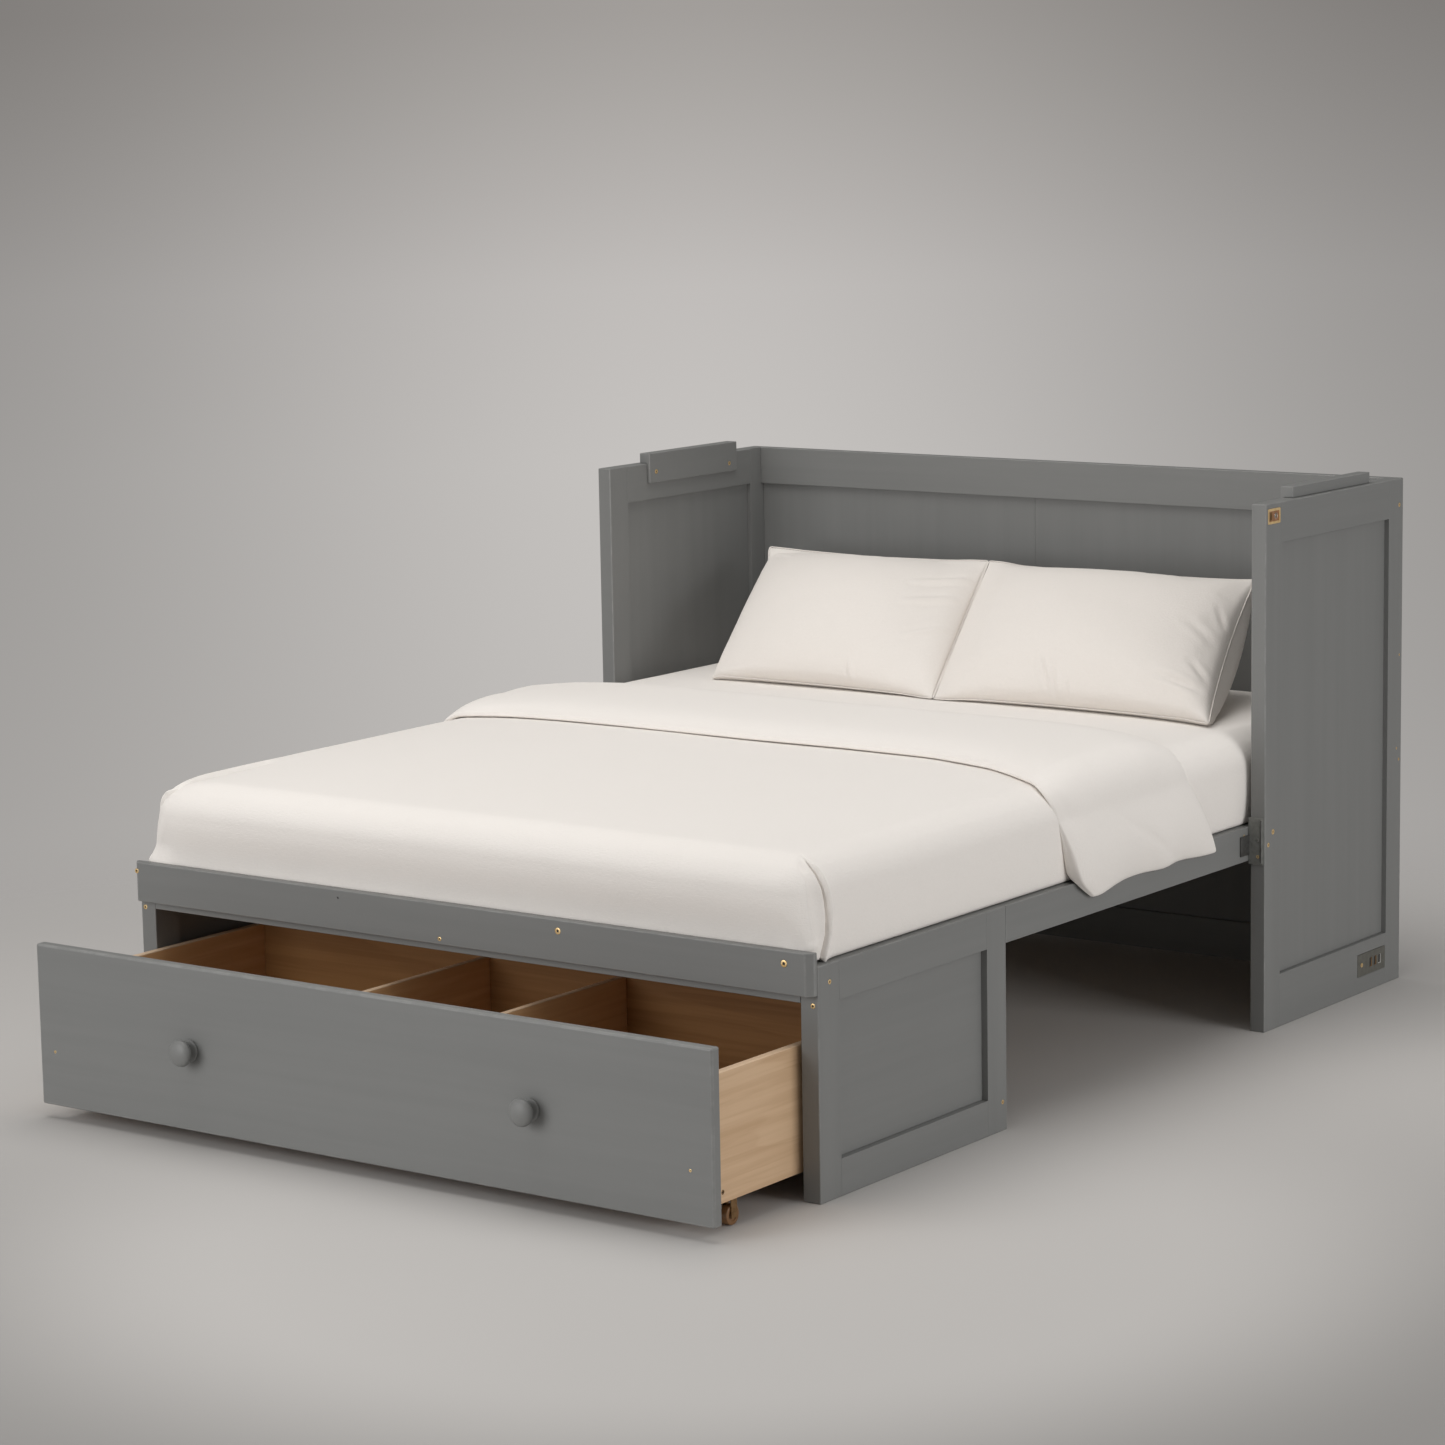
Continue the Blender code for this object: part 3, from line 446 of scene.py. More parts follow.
brass = metal("brass", (0.95, 0.7, 0.36), (0.76, 0.51, 0.22), 0.3, 160.0, 0.75)
copper = metal("copper", (0.62, 0.34, 0.2), (0.44, 0.23, 0.12), 0.34, 120.0)
bronze = metal("bronze", (0.3, 0.185, 0.09), (0.18, 0.108, 0.052), 0.4, 140.0)
dark_steel = metal("dark_steel", (0.15, 0.15, 0.145), (0.1, 0.098, 0.092), 0.36, 140.0, 0.7)
outlet_face = metal("outlet_face", (0.15, 0.147, 0.128), (0.112, 0.109, 0.094), 0.42, 120.0, 0.3)
bracket_steel = metal("bracket_steel", (0.235, 0.24, 0.226), (0.18, 0.183, 0.172), 0.45, 120.0, 0.3)
steel = metal("steel", (0.56, 0.555, 0.54), (0.4, 0.395, 0.38), 0.28, 160.0)
wheel_plastic = plastic(
    "wheel_plastic", (0.17, 0.08, 0.03), (0.25, 0.13, 0.055), (240.0, 3.0, 0.6),
    0.34, 0.14, 0.0001,
)
# near black for the floors of screw sockets and outlet slots: painted shade in the hollows
painted_shade_socket = plastic(
    "painted_shade_socket", (0.012, 0.011, 0.01), (0.03, 0.028, 0.026), (400.0, 2.0, 0.5),
    0.42, 0.15, 0.0,
)
print("small finishes:", [item.name for item in (brass, bronze, dark_steel, wheel_plastic)])

# %% [markdown]
# Seen close, linen has two crossing sets of threads, and some are thicker, which shows as slubs
# and nubs. The pattern lies on each piece's own UV map, in metres, so it follows the cloth round
# edges. A little sheen gives the soft bright rim of cloth.


# %% Linen
def linen(name, pale, shaded):
    """Woven cloth: threads, slubs and nubs on the piece's UV map, with slow changes of tone."""
    finish = Finish(
        name, Roughness=0.92, Sheen_Weight=0.1, Sheen_Roughness=0.6, Specular_IOR_Level=0.25,
    )
    warp = finish.noise((90.0, 1100.0, 1.0), 2.0, source="UV")
    weft = finish.noise((1100.0, 90.0, 1.0), 2.0, source="UV", shift=(0.5, 0.2, 0.0))
    slubs = finish.noise((26.0, 420.0, 1.0), 2.0, source="UV", shift=(0.1, 0.9, 0.0))
    nubs = finish.noise((150.0, 190.0, 1.0), 3.0, 0.65, source="UV", shift=(0.4, 0.6, 0.0))
    slubs = finish.ease(slubs, 0.6, 0.8)
    cloud = finish.noise(3.0, 3.0, 0.55)
    threads = warp * 0.5 + weft * 0.5
    tone = threads * 0.4 + slubs * 0.2 + cloud * 0.2 + nubs * 0.35
    finish.drive(Base_Color=finish.blend(tone, shaded, pale), Roughness=0.84 + threads * 0.12)
    finish.bump(threads + slubs * 0.4 + nubs * 0.9, 0.0009, 0.75)
    return finish.material


cover_linen = linen("cover_linen", (0.93, 0.89, 0.85), (0.845, 0.8, 0.755))
# the pillows' linen is a darker copy of the cover's: painted shade on the pillows
shaded_pillow_linen = linen("shaded_pillow_linen", (0.865, 0.82, 0.776), (0.775, 0.726, 0.678))
print("linens:", cover_linen.name, shaded_pillow_linen.name)

# %% [markdown]
# Most pieces start from a primitive, made at the size and place of its solid, and the place is
# then put into the mesh. Where a solid has steps, a merged copy of it is the start instead. What
# every later cell does to a shape, in edit mode or by a modifier, has its helper here.


# %% Shape helpers
near = 0.0004


def primitive(add, name, location=(0, 0, 0), **settings):
    """A primitive with its place in its mesh."""
    let_go()
    add(location=location, **settings)
    piece = bpy.context.object
    piece.name = piece.data.name = name
    bpy.ops.object.transform_apply(location=True, rotation=True, scale=True)
    return piece


def block(name, start, end):
    """A cube primitive between two opposite corners."""
    low, high = (Vector(map(pick, start, end)) for pick in (min, max))
    return primitive(
        bpy.ops.mesh.primitive_cube_add, name, (low + high) / 2, size=1.0, scale=high - low,
    )


@contextmanager
def editing(piece, kind):
    """Edit mode on one piece, where VERT, EDGE or FACE elements are selected."""
    take(piece)
    bpy.ops.object.mode_set(mode="EDIT")
    bpy.ops.mesh.select_mode(type=kind)
    yield
    bpy.ops.object.mode_set(mode="OBJECT")


def face_outwards():
    """In edit mode, select the whole piece and turn its faces outwards."""
    bpy.ops.mesh.select_all(action="SELECT")
    bpy.ops.mesh.normals_make_consistent(inside=False)


def apply_modifier(piece, kind, **settings):
    """Add a modifier to a piece, set it and apply it at once."""
    modifier = piece.modifiers.new(kind.lower(), kind)
    for setting, value in settings.items():
        setattr(modifier, setting, value)
    take(piece)
    bpy.ops.object.modifier_apply(modifier=modifier.name)


def copied(node, name):
    """A merged copy of a CAD node's mesh: its triangles are joined up again into whole faces."""
    piece = bpy.data.objects.new(name, nodes[node].data.copy())
    piece.data.name = name
    scene.collection.objects.link(piece)
    with editing(piece, "VERT"):
        bpy.ops.mesh.select_all(action="SELECT")
        bpy.ops.mesh.remove_doubles(threshold=0.00001)
        bpy.ops.mesh.dissolve_limited(angle_limit=math.radians(1.0))
        face_outwards()
    return piece


print("shape helpers ready")

# %% [markdown]
# On the real bed the free edges of a board are rounded over and catch the light, while an edge
# that meets another board stays crisp, so that a joint shows only as a hairline. A bevel weight on
# each edge tells the Bevel modifier which is which. Faces that the bevel makes are marked, so that
# the paint can wear thin there and be lightened as a painted highlight.


# %% Board helpers
def ease_edges(piece, soft, joined=(), fine=0.0004, segments=3):
    """Round the free edges softly, and those on a joined side, such as (1, -1) for -Y, finely."""
    mesh = piece.data
    places = np.array([vertex.co for vertex in mesh.vertices])
    ends = places.min(axis=0), places.max(axis=0)
    flat = {tuple(round(value, 3) for value in polygon.normal) for polygon in mesh.polygons}
    weights = mesh.attributes.new("bevel_weight_edge", "FLOAT", "EDGE")
    for edge in mesh.edges:
        corners = [mesh.vertices[index].co for index in edge.vertices]
        crisp = any(
            all(abs(corner[axis] - ends[sign > 0][axis]) < near for corner in corners)
            for axis, sign in joined
        )
        weights.data[edge.index].value = fine / soft if crisp else 1.0
    apply_modifier(
        piece, "BEVEL", width=soft, segments=segments, limit_method="WEIGHT",
        use_clamp_overlap=True,
    )
    piece["flat_normals"] = [value for normal in flat for value in normal]


def settle(piece):
    """Mark what the bevel made, and shade the piece so that flat faces stay flat."""
    mesh = piece.data
    flat = np.array(piece["flat_normals"]).reshape(-1, 3)
    del piece["flat_normals"]
    eased = mesh.attributes.new("eased_edge", "FLOAT", "FACE")
    normals = np.array([polygon.normal for polygon in mesh.polygons])
    eased.data.foreach_set("value", ((normals @ flat.T).max(axis=1) < 0.999).astype(np.float32))
    mesh.shade_smooth()
    apply_modifier(piece, "WEIGHTED_NORMAL", mode="FACE_AREA", weight=100, keep_sharp=False)


def smooth(piece, degrees):
    """Shade a piece smooth, and keep the edges that are sharper than an angle."""
    take(piece)
    bpy.ops.object.shade_smooth_by_angle(angle=math.radians(degrees))


def dress(piece, slot, *finishes, body="bed", node=None, choice=None):
    """Give a piece its finishes and its body, and let it stand for a node if it has one."""
    piece.data.materials.clear()
    for finish in finishes:
        piece.data.materials.append(finish)
    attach(piece, body)
    if node:
        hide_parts(node)
    if choice:
        for face in piece.data.polygons:
            face.material_index = int(choice(face))


print("board helpers ready")

# %% [markdown]
# A table says for each board which of its sides are joined. The ends of the cabinet and of the
# foot box are frames of two uprights and two rails round a thin panel. Rails and cleats with a
# step in their section start from a merged copy of their solid.


# %% Boards
boards = {}
paint_round, thin_round, panel_round = 0.0022, 0.0016, 0.0006
front_side, rear_side, under_side, upper_side = (1, -1), (1, 1), (2, -1), (2, 1)
ends, sides = (front_side, rear_side), ((0, -1), (0, 1))


def add_board(node, soft, joined=(), stepped=False, suffix="board", **fineness):
    """Start a board from a cube, or from a copy of its solid if that has steps, and ease it."""
    name = f"{node}_{suffix}"
    boards[node] = copied(node, name) if stepped else block(name, *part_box(node))
    ease_edges(boards[node], soft, joined, **fineness)


for word, side in (("left", -1), ("right", 1)):
    for node, joined in {
        f"cabinet_{word}_front_stile": (rear_side,),
        f"cabinet_{word}_rear_stile": (front_side, (0, -side)),
        f"cabinet_{word}_top_rail": (*ends, under_side),
        f"cabinet_{word}_bottom_rail": (*ends, upper_side),
        f"foot_{word}_front_leg": (rear_side,),
        f"foot_{word}_rear_leg": (front_side,),
        f"foot_{word}_bottom_rail": (*ends, upper_side),
    }.items():
        add_board(node, paint_round, joined)
    for group in ("cabinet", "foot"):
        add_board(f"{group}_{word}_panel", panel_round, segments=1)
    add_board(f"foot_{word}_top_rail", thin_round, (*ends, under_side), stepped=True)
    for node in (f"side_rail_{word}", f"lid_cleat_{word}"):
        add_board(node, thin_round, stepped=True)
for node, joined in {
    "back_top_rail": (under_side,), "back_bottom_rail": (upper_side,),
    "back_panel_left": (under_side, upper_side), "back_panel_right": (under_side, upper_side),
    "foot_cross_rail": (), "foot_rear_rail": (),
}.items():
    add_board(node, thin_round, (*sides, *joined), fine=0.0006)
print("painted boards:", len(boards))

# %% [markdown]
# The rail across the foot has its two front corners cut off at a slant. The slant is a bevel of
# one segment, made in edit mode before the fine rounding.


# %% Front rail
def choose(piece, kind, wanted):
    """In edit mode, select just the edges or just the faces that pass a test."""
    shape = bmesh.from_edit_mesh(piece.data)
    for item in (*shape.verts, *shape.edges, *shape.faces):
        item.select = False
    for item in getattr(shape, kind):
        if wanted(item):
            item.select = True
    bmesh.update_edit_mesh(piece.data)


def bevel_edges(piece, wanted, offset, segments):
    """Bevel the edges whose two corners pass a test."""
    with editing(piece, "EDGE"):
        choose(piece, "edges", lambda edge: wanted(*(corner.co for corner in edge.verts)))
        bpy.ops.mesh.bevel(offset=offset, segments=segments, affect="EDGES")


slant = 0.012
low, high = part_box("foot_front_rail")
rail = boards["foot_front_rail"] = block("foot_front_rail_board", low, high)
bevel_edges(
    rail, lambda a, b: max(a.y, b.y) < low.y + near and abs(a.z - b.z) > near, slant, 1,
)
ease_edges(rail, paint_round)
print("front rail faces:", len(rail.data.polygons))

# %% [markdown]
# The drawer's front is rounded over more than the other boards, so its top edge shows as a bright
# line. Its box is bare wood, and so are the slats.

# %% Drawer boards and decks
drawer_round, box_round, slat_round = 0.0045, 0.0018, 0.001
add_board("drawer_front", drawer_round, (rear_side,), fine=0.0015, segments=5)
for node, joined in {
    "side_left": (*ends, under_side), "side_right": (*ends, under_side),
    "back": (*sides, under_side), "divider_left": (*ends, under_side),
    "divider_right": (*ends, under_side), "bottom": (*sides, *ends),
}.items():
    add_board(f"drawer_{node}", box_round, joined)
for part in ("foot", "middle", "head"):
    add_board(f"deck_{part}", slat_round, stepped=True, suffix="slats", segments=2)
print("boards in all:", len(boards))

# %% [markdown]
# Screws are turned heads, sunk a little below the paint with a thin dark ring round each. One head
# is modelled: a cylinder with a bevelled rim and a socket sunk in it, whose floor is painted near
# black as painted shade. Each place gets a round pocket in its board and a copy of the head, turned
# to face outwards.

# %% Screw head
head_radius, head_height, pocket_depth, head_sides = 0.0034, 0.0012, 0.0013, 28
head_round, socket_rim, socket_depth, socket_taper = 0.0005, 0.0013, 0.001, 0.86
head = primitive(
    bpy.ops.mesh.primitive_cylinder_add, "screw_head", vertices=head_sides, radius=head_radius,
    depth=head_height,
)
bevel_edges(head, lambda a, b: min(a.z, b.z) > head_height * 0.4, head_round, 2)
with editing(head, "FACE"):
    choose(head, "faces", lambda face: face.normal.z > 0.99 and len(face.verts) > 8)
    bpy.ops.mesh.inset(thickness=socket_rim)
    bpy.ops.mesh.extrude_region_move(TRANSFORM_OT_translate={"value": (0, 0, -socket_depth)})
    bpy.ops.transform.resize(value=(socket_taper, socket_taper, 1.0))
print("screw head faces:", len(head.data.polygons))

# %% [markdown]
# A screw's pocket is cut by a cylinder, with a Boolean modifier that is applied at once. It is a
# little wider than the head, which leaves the ring of shadow round it.


# %% Screws
def pocket(piece, cutter):
    """Cut a shape out of a board."""
    apply_modifier(piece, "BOOLEAN", operation="DIFFERENCE", solver="EXACT", object=cutter)
    bpy.data.objects.remove(cutter, do_unlink=True)


def drill(piece, sides, radius, depth, at, rotation):
    """Drill a round hole."""
    pocket(piece, primitive(
        bpy.ops.mesh.primitive_cylinder_add, "hole", at, vertices=sides, radius=radius, depth=depth,
        rotation=rotation,
    ))


def set_screw(name, host, at, facing, finish, size=1.0, body="bed", slot="brass"):
    """Sink a copy of the screw head into a board, or set it on a plate when there is no host."""
    outward, at = Vector(facing), Vector(at)
    turn = outward.to_track_quat("Z", "Y").to_matrix().to_4x4()
    if host:
        hole_radius = (head_radius + 0.0004) * size
        drill(boards[host], head_sides, hole_radius, 2 * pocket_depth, at, turn.to_euler())
    sunk = at - outward * (head_height / 2 + 0.00015 if host else -head_height * 0.2)
    screw = bpy.data.objects.new(name, head.data.copy())
    screw.data.transform(Matrix.Translation(sunk) @ turn @ Matrix.Diagonal((size, size, 1.0, 1.0)))
    screw.data.name = name
    scene.collection.objects.link(screw)
    smooth(screw, 35)
    # the socket's floor takes the near-black finish: painted shade in the hollow
    dress(screw, slot, finish, painted_shade_socket, body=body, choice=lambda face: (
        face.normal.dot(outward) > 0.9 and (face.center - sunk).dot(outward) < 0
    ))


print("screw helpers ready")

# %% [markdown]
# Each row names a board and the way the screws face, and then each screw's place along the board,
# its height and its size. Its depth comes from the board's own box. All but a few are brass.

# %% Screw places
right, left, forward = (1, 0, 0), (-1, 0, 0), (0, -1, 0)
screw_rows = [
    ("cabinet_right_front_stile", right, (0.6464, 0.3972, 1.6), (0.6279, 0.3739, 1.35)),
    ("cabinet_right_rear_stile", right, (1.1766, 0.9897, 1.3), (1.1817, 0.6805, 0.8),
     (1.1724, 0.4871, 0.8), (1.1832, 0.4629, 0.9)),
    ("cabinet_left_front_stile", left, (0.6464, 0.3972, 1.6), (0.6279, 0.3739, 1.35)),
    ("cabinet_left_rear_stile", left, (1.1766, 0.9897, 1.3), (1.1832, 0.4629, 0.9)),
    ("lid_cleat_left", right, (0.7692, 1.0249, 1.5), (1.0405, 1.0193, 1.4)),
    ("lid_cleat_right", left, (0.7692, 1.0249, 1.5), (1.0405, 1.0193, 1.4)),
    ("foot_front_rail", forward, (-0.769, 0.418, 1.4), (0.243, 0.415, 1.8), (0.725, 0.413, 1.9),
     (-0.027, 0.3705, 1.2), (-0.265, 0.42, 0.7, dark_steel)),
    ("foot_left_front_leg", forward, (-0.77, 0.345, 1.35)),
    ("foot_right_front_leg", forward, (0.769, 0.3415, 1.35)),
    ("foot_right_front_leg", right, (-0.8315, 0.378, 1.3)),
    ("foot_right_rear_leg", right, (-0.2926, 0.053, 1.2)),
    ("foot_left_front_leg", left, (-0.8315, 0.378, 1.3)),
    ("foot_left_rear_leg", left, (-0.2926, 0.053, 1.2)),
    ("side_rail_right", right, (0.594, 0.393, 1.1)),
    ("side_rail_left", left, (0.594, 0.393, 1.1)),
]
drawer_rows = [
    ("drawer_screw_left", "drawer_front", forward, -0.732, 0.128, brass, 0.8),
    ("drawer_screw_right", "drawer_front", forward, 0.722, 0.118, brass, 0.8),
    ("drawer_side_left_screw", "drawer_side_left", left, -1.083, 0.0665, bronze, 1.2),
    ("drawer_side_right_screw", "drawer_side_right", right, -1.083, 0.0665, bronze, 1.2),
]


def on_face(node, facing, along, height):
    """A place on the right, left or front face of a node."""
    low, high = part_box(node)
    if facing == forward:
        return along, low.y, height
    return (high if facing == right else low).x, along, height


number = 0
for host, facing, *spots in screw_rows:
    for along, height, size, *finish in spots:
        number += 1
        at = on_face(host, facing, along, height)
        set_screw(f"screw_{number:02d}", host, at, facing, *(finish or [brass]), size)
for name, host, facing, along, height, finish, size in drawer_rows:
    at = on_face(host, facing, along, height)
    set_screw(name, host, at, facing, finish, size, "drawer")
print("screws:", number + len(drawer_rows))

# %% [markdown]
# Two brass plates at the top of the cabinet take the lid's latches. Each lies flush in a pocket a
# little larger than itself, which leaves a thin dark line all round. It is a block with rounded
# corners, in which a field, a strike and a round hole with an eyelet are sunk. Their sunk faces are
# painted darker the deeper they lie, copper and then dark bronze, as painted shade.


# %% Latch plates
slack, corner_round, lie_along_x = 0.0001, 0.003, (0, math.pi / 2, 0)
hole_place, hole_radius, hole_depth, eyelet_depth = 0.0333, 0.004, 0.012, 0.0009
painted_shade_depths = (0.0004, 0.0012)


def plate(node, name, host, rim=0.0005):
    """A plate with rounded corners, flush in a pocket that is cut in its board."""
    low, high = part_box(node)
    side = 1 if low.x > 0 else -1
    inner, outer = (low.x, high.x) if side > 0 else (high.x, low.x)
    pocket(boards[host], block(
        "hollow", (inner - side * 0.0003, low.y - rim, low.z - rim),
        (outer + side * 0.004, high.y + rim, high.z + rim),
    ))
    piece = block(name, low, high)
    bevel_edges(
        piece, lambda a, b: abs(a.y - b.y) < near and abs(a.z - b.z) < near, corner_round, 4,
    )
    return piece, low, high, (low.z + high.z) / 2, outer, side


for word in ("left", "right"):
    node = f"latch_plate_{word}"
    piece, low, high, middle_z, outer, side = plate(
        node, f"{node}_brass", f"cabinet_{word}_front_stile",
    )
    hole_y = low.y + hole_place
    for sink, start_y, end_y, inset in (
        (0.0008, low.y + 0.005, high.y - 0.005, 0.005),
        (0.0016, low.y + 0.008, low.y + 0.019, 0.007),
    ):
        pocket(piece, block(
            "field", (outer + side * slack, start_y, low.z + inset),
            (outer - side * (sink + slack), end_y, high.z - inset),
        ))
    drill(piece, 32, hole_radius, hole_depth, (outer, hole_y, middle_z), lie_along_x)
    smooth(piece, 30)
    # the sunk field takes copper and the deeper strike dark bronze: painted shade, darker the
    # deeper a face lies
    dress(
        piece, "brass", brass, copper, bronze, node=node, choice=lambda face:
        sum((outer - face.center.x) * side > depth for depth in painted_shade_depths)
        if face.normal.x * side > 0.9 else 0,
    )
    eyelet = primitive(
        bpy.ops.mesh.primitive_torus_add, f"latch_eyelet_{word}",
        (outer - side * eyelet_depth, hole_y, middle_z), rotation=lie_along_x, major_radius=0.0052,
        minor_radius=0.0007, major_segments=40, minor_segments=10,
    )
    bpy.ops.object.shade_smooth()
    dress(eyelet, "brass", steel)
print("latch plates: 2")

# %% [markdown]
# The outlet is a dark plate with three slots, low on the cabinet's right side. Each slot holds a
# trim: a block whose face is inset and pushed in, with its middle painted near black as painted
# shade inside the slot.

# %% Outlet
outlet, low, high, middle_z, outer, side = plate(
    "outlet_plate", "outlet_plate_face", "cabinet_right_bottom_rail", 0.0012,
)
slot_depth, half_width, half_height = 0.0022, 0.0055, 0.0095
trim_depth, rim_width, deep_rim = 0.0016, 0.001, 0.0012
for number, place in enumerate((0.058, 0.0775, 0.097), 1):
    slot_low = low.y + place - half_width, middle_z - half_height
    slot_high = low.y + place + half_width, middle_z + half_height
    pocket(outlet, block(
        "slot", (outer - slot_depth, *slot_low), (outer + slack, *slot_high),
    ))
    trim = block(
        f"outlet_trim_{number}", (outer - trim_depth, *slot_low), (outer - 2 * slack, *slot_high),
    )
    with editing(trim, "FACE"):
        choose(trim, "faces", lambda face: face.normal.x > 0.9)
        bpy.ops.mesh.inset(thickness=rim_width)
        bpy.ops.transform.translate(value=(-deep_rim, 0, 0))
    rim = steel if number == 3 else bronze
    # the trim's sunk middle takes the near-black finish: painted shade inside the slot
    dress(trim, "dark_steel", rim, painted_shade_socket, choice=lambda face: (
        face.normal.x > 0.9
        and all(trim.data.vertices[index].co.x < outer - 0.0011 for index in face.vertices)
    ))
smooth(outlet, 30)
dress(outlet, "dark_steel", outlet_face, node="outlet_plate")
set_screw("outlet_screw", None, (outer, low.y + 0.018, middle_z), right, brass, 1.3)
print("outlet slots:", number)

# %% [markdown]
# The steel bracket that carries the end of each rail starts from a merged copy of its solid, and
# its edges are eased. Its screws are copies of the same head in bright steel and brass.

# %% Rail brackets
flange, lip_inset, lip_width, screw_inset = 0.003, 0.0025, 0.002, 0.0113
for word, side in (("left", -1), ("right", 1)):
    node = f"rail_bracket_{word}"
    low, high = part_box(node)
    outer, face_y = (high if side > 0 else low).x, high.y - flange
    bracket = copied(node, f"{node}_steel")
    ease_edges(bracket, 0.0005, segments=2)
    settle(bracket)
    dress(
        bracket, "dark_steel", dark_steel, bracket_steel, node=node,
        choice=lambda face: face.center.y > face_y - 0.0006,
    )
    dress(block(
        f"{node}_lip", (outer - side * lip_inset, face_y - 0.001, low.z + lip_inset),
        (outer - side * (lip_inset + lip_width), face_y + 0.0004, high.z - lip_inset),
    ), "dark_steel", steel)
    for label, rise, finish in (("upper", 0.049, steel), ("lower", 0.016, brass)):
        at = (outer - side * screw_inset, face_y, low.z + rise)
        set_screw(
            f"bracket_screw_{label}_{word}", None, at, forward, finish, slot="dark_steel",
        )
print("brackets done")

# %% [markdown]
# A knob is turned on a lathe. The same is done here: a disc is drawn out along its axis step by
# step, and scaled at each step to the radius of the profile there.

# %% Knobs
knob_profile = [
    (0.0, 0.0196), (0.0008, 0.02), (0.0028, 0.02), (0.0038, 0.0192), (0.0046, 0.0165),
    (0.0056, 0.011), (0.007, 0.0085), (0.01, 0.008), (0.0125, 0.0092), (0.015, 0.013),
    (0.018, 0.019), (0.0205, 0.0228), (0.023, 0.0243), (0.0265, 0.0245), (0.03, 0.0232),
    (0.033, 0.02), (0.0354, 0.015), (0.037, 0.0088), (0.0377, 0.003),
]
for word in ("left", "right"):
    node = f"drawer_knob_{word}"
    low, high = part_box(node)
    middle = (low + high) / 2
    knob = primitive(
        bpy.ops.mesh.primitive_circle_add, f"{node}_turned", (middle.x, high.y, middle.z),
        rotation=(math.pi / 2, 0, 0), vertices=64, radius=knob_profile[0][1], fill_type="NGON",
    )
    with editing(knob, "FACE"):
        bpy.ops.mesh.select_all(action="SELECT")
        for (reach, radius), (next_reach, next_radius) in zip(knob_profile, knob_profile[1:]):
            bpy.ops.mesh.extrude_region_move(
                TRANSFORM_OT_translate={"value": (0, reach - next_reach, 0)},
            )
            ratio = next_radius / radius
            bpy.ops.transform.resize(
                value=(ratio, 1.0, ratio),
                center_override=(middle.x, high.y - next_reach, middle.z),
            )
        face_outwards()
    smooth(knob, 50)
    dress(knob, "grey_paint", paints[1], body="drawer", node=node)
print("knob length:", knob_profile[-1][0])

# %% [markdown]
# The castors are small: a brown moulded wheel with a rounded tread and a sunk hub, in a bronze
# fork. The wheel is a cylinder whose rims are bevelled, and whose sides are inset and sunk in
# steps.

# %% Castors
tread_round = 0.0022
hub_steps = ((0.0045, 0.0), (0.0008, 0.0016), (0.0042, 0.0), (0.0006, -0.001))
for word in ("front_left", "front_right", "back_left", "back_right"):
    node = f"castor_wheel_{word}"
    low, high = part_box(node)
    wheel = primitive(
        bpy.ops.mesh.primitive_cylinder_add, f"{node}_tread", (low + high) / 2, vertices=48,
        radius=(high.z - low.z) / 2, depth=high.x - low.x, rotation=lie_along_x,
    )
    bevel_edges(wheel, lambda a, b: abs(a.x - b.x) < near, tread_round, 4)
    with editing(wheel, "FACE"):
        for side in (-1, 1):
            choose(wheel, "faces", lambda face: face.normal.x * side > 0.99 and len(face.verts) > 8)
            for inset, sink in hub_steps:
                bpy.ops.mesh.inset(thickness=inset)
                bpy.ops.transform.translate(value=(-side * sink, 0, 0))
    smooth(wheel, 35)
    dress(wheel, "wheel_plastic", wheel_plastic, body=f"wheel_{word}", node=node)
    node = f"castor_bracket_{word}"
    fork = copied(node, f"{node}_fork")
    smooth(fork, 35)
    dress(fork, "brass", bronze, body="drawer", node=node)
print("castors: 4")

# %% [markdown]
# With all the pockets cut, each board is marked, shaded and painted. The grain runs along the
# board's longest side. The drawer's boards have paler upper edges, inner faces painted darker as
# painted shade, and faces painted paler as painted light where a board that runs from front to back
# looks right.

# %% Finish the boards
for node, piece in boards.items():
    settle(piece)
    low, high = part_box(node)
    longest = max(range(3), key=lambda axis: (high - low)[axis])

    def wood_of(face):
        """Which of four woods a drawer face shows: outer, inner in painted shade, edge, or painted
        light.
        """
        bottom, x = node == "drawer_bottom", face.center.x
        if not bottom and (face.normal.z > 0.3 or face.center.z > high.z - 0.002):
            return 2
        if longest == 1 and face.normal.x > 0.3 and x < 0.5:
            return 3
        return bottom or node == "drawer_back" or face.normal.x * x < -0.3

    if node.startswith("deck"):
        dress(piece, "slat_wood", slat_wood, node=node)
    elif node == "drawer_front" or not node.startswith("drawer"):
        body = "drawer" if node == "drawer_front" else "bed"
        dress(piece, "grey_paint", paints[longest], body=body, node=node)
    else:
        woods = drawer_woods[min(longest, 1)], inner_shaded_woods[min(longest, 1)], edge_wood, painted_light_wood
        dress(piece, "drawer_wood", *woods, body="drawer", node=node, choice=wood_of)
bpy.data.objects.remove(head, do_unlink=True)
print("boards finished:", len(boards))

# %% [markdown]
# The bedding is soft, so each piece is a fine grid of points whose places are worked out with
# numpy, kept as one closed skin. The grid also carries flat cloth coordinates in metres, on which
# the linen's threads lie.


# %% Cloth helpers
def skin(name, points, faces, flat, finish):
    """A closed skin from points and faces, with flat cloth coordinates at each face's corners."""
    mesh = bpy.data.meshes.new(name)
    mesh.from_pydata([tuple(point) for point in points], [], faces)
    layer = mesh.uv_layers.new(name="cloth")
    layer.data.foreach_set("uv", np.asarray(flat, dtype=np.float32).ravel())
    mesh.materials.append(finish)
    piece = bpy.data.objects.new(name, mesh)
    scene.collection.objects.link(piece)
    with editing(piece, "VERT"):
        face_outwards()
    mesh.shade_smooth()
    return piece


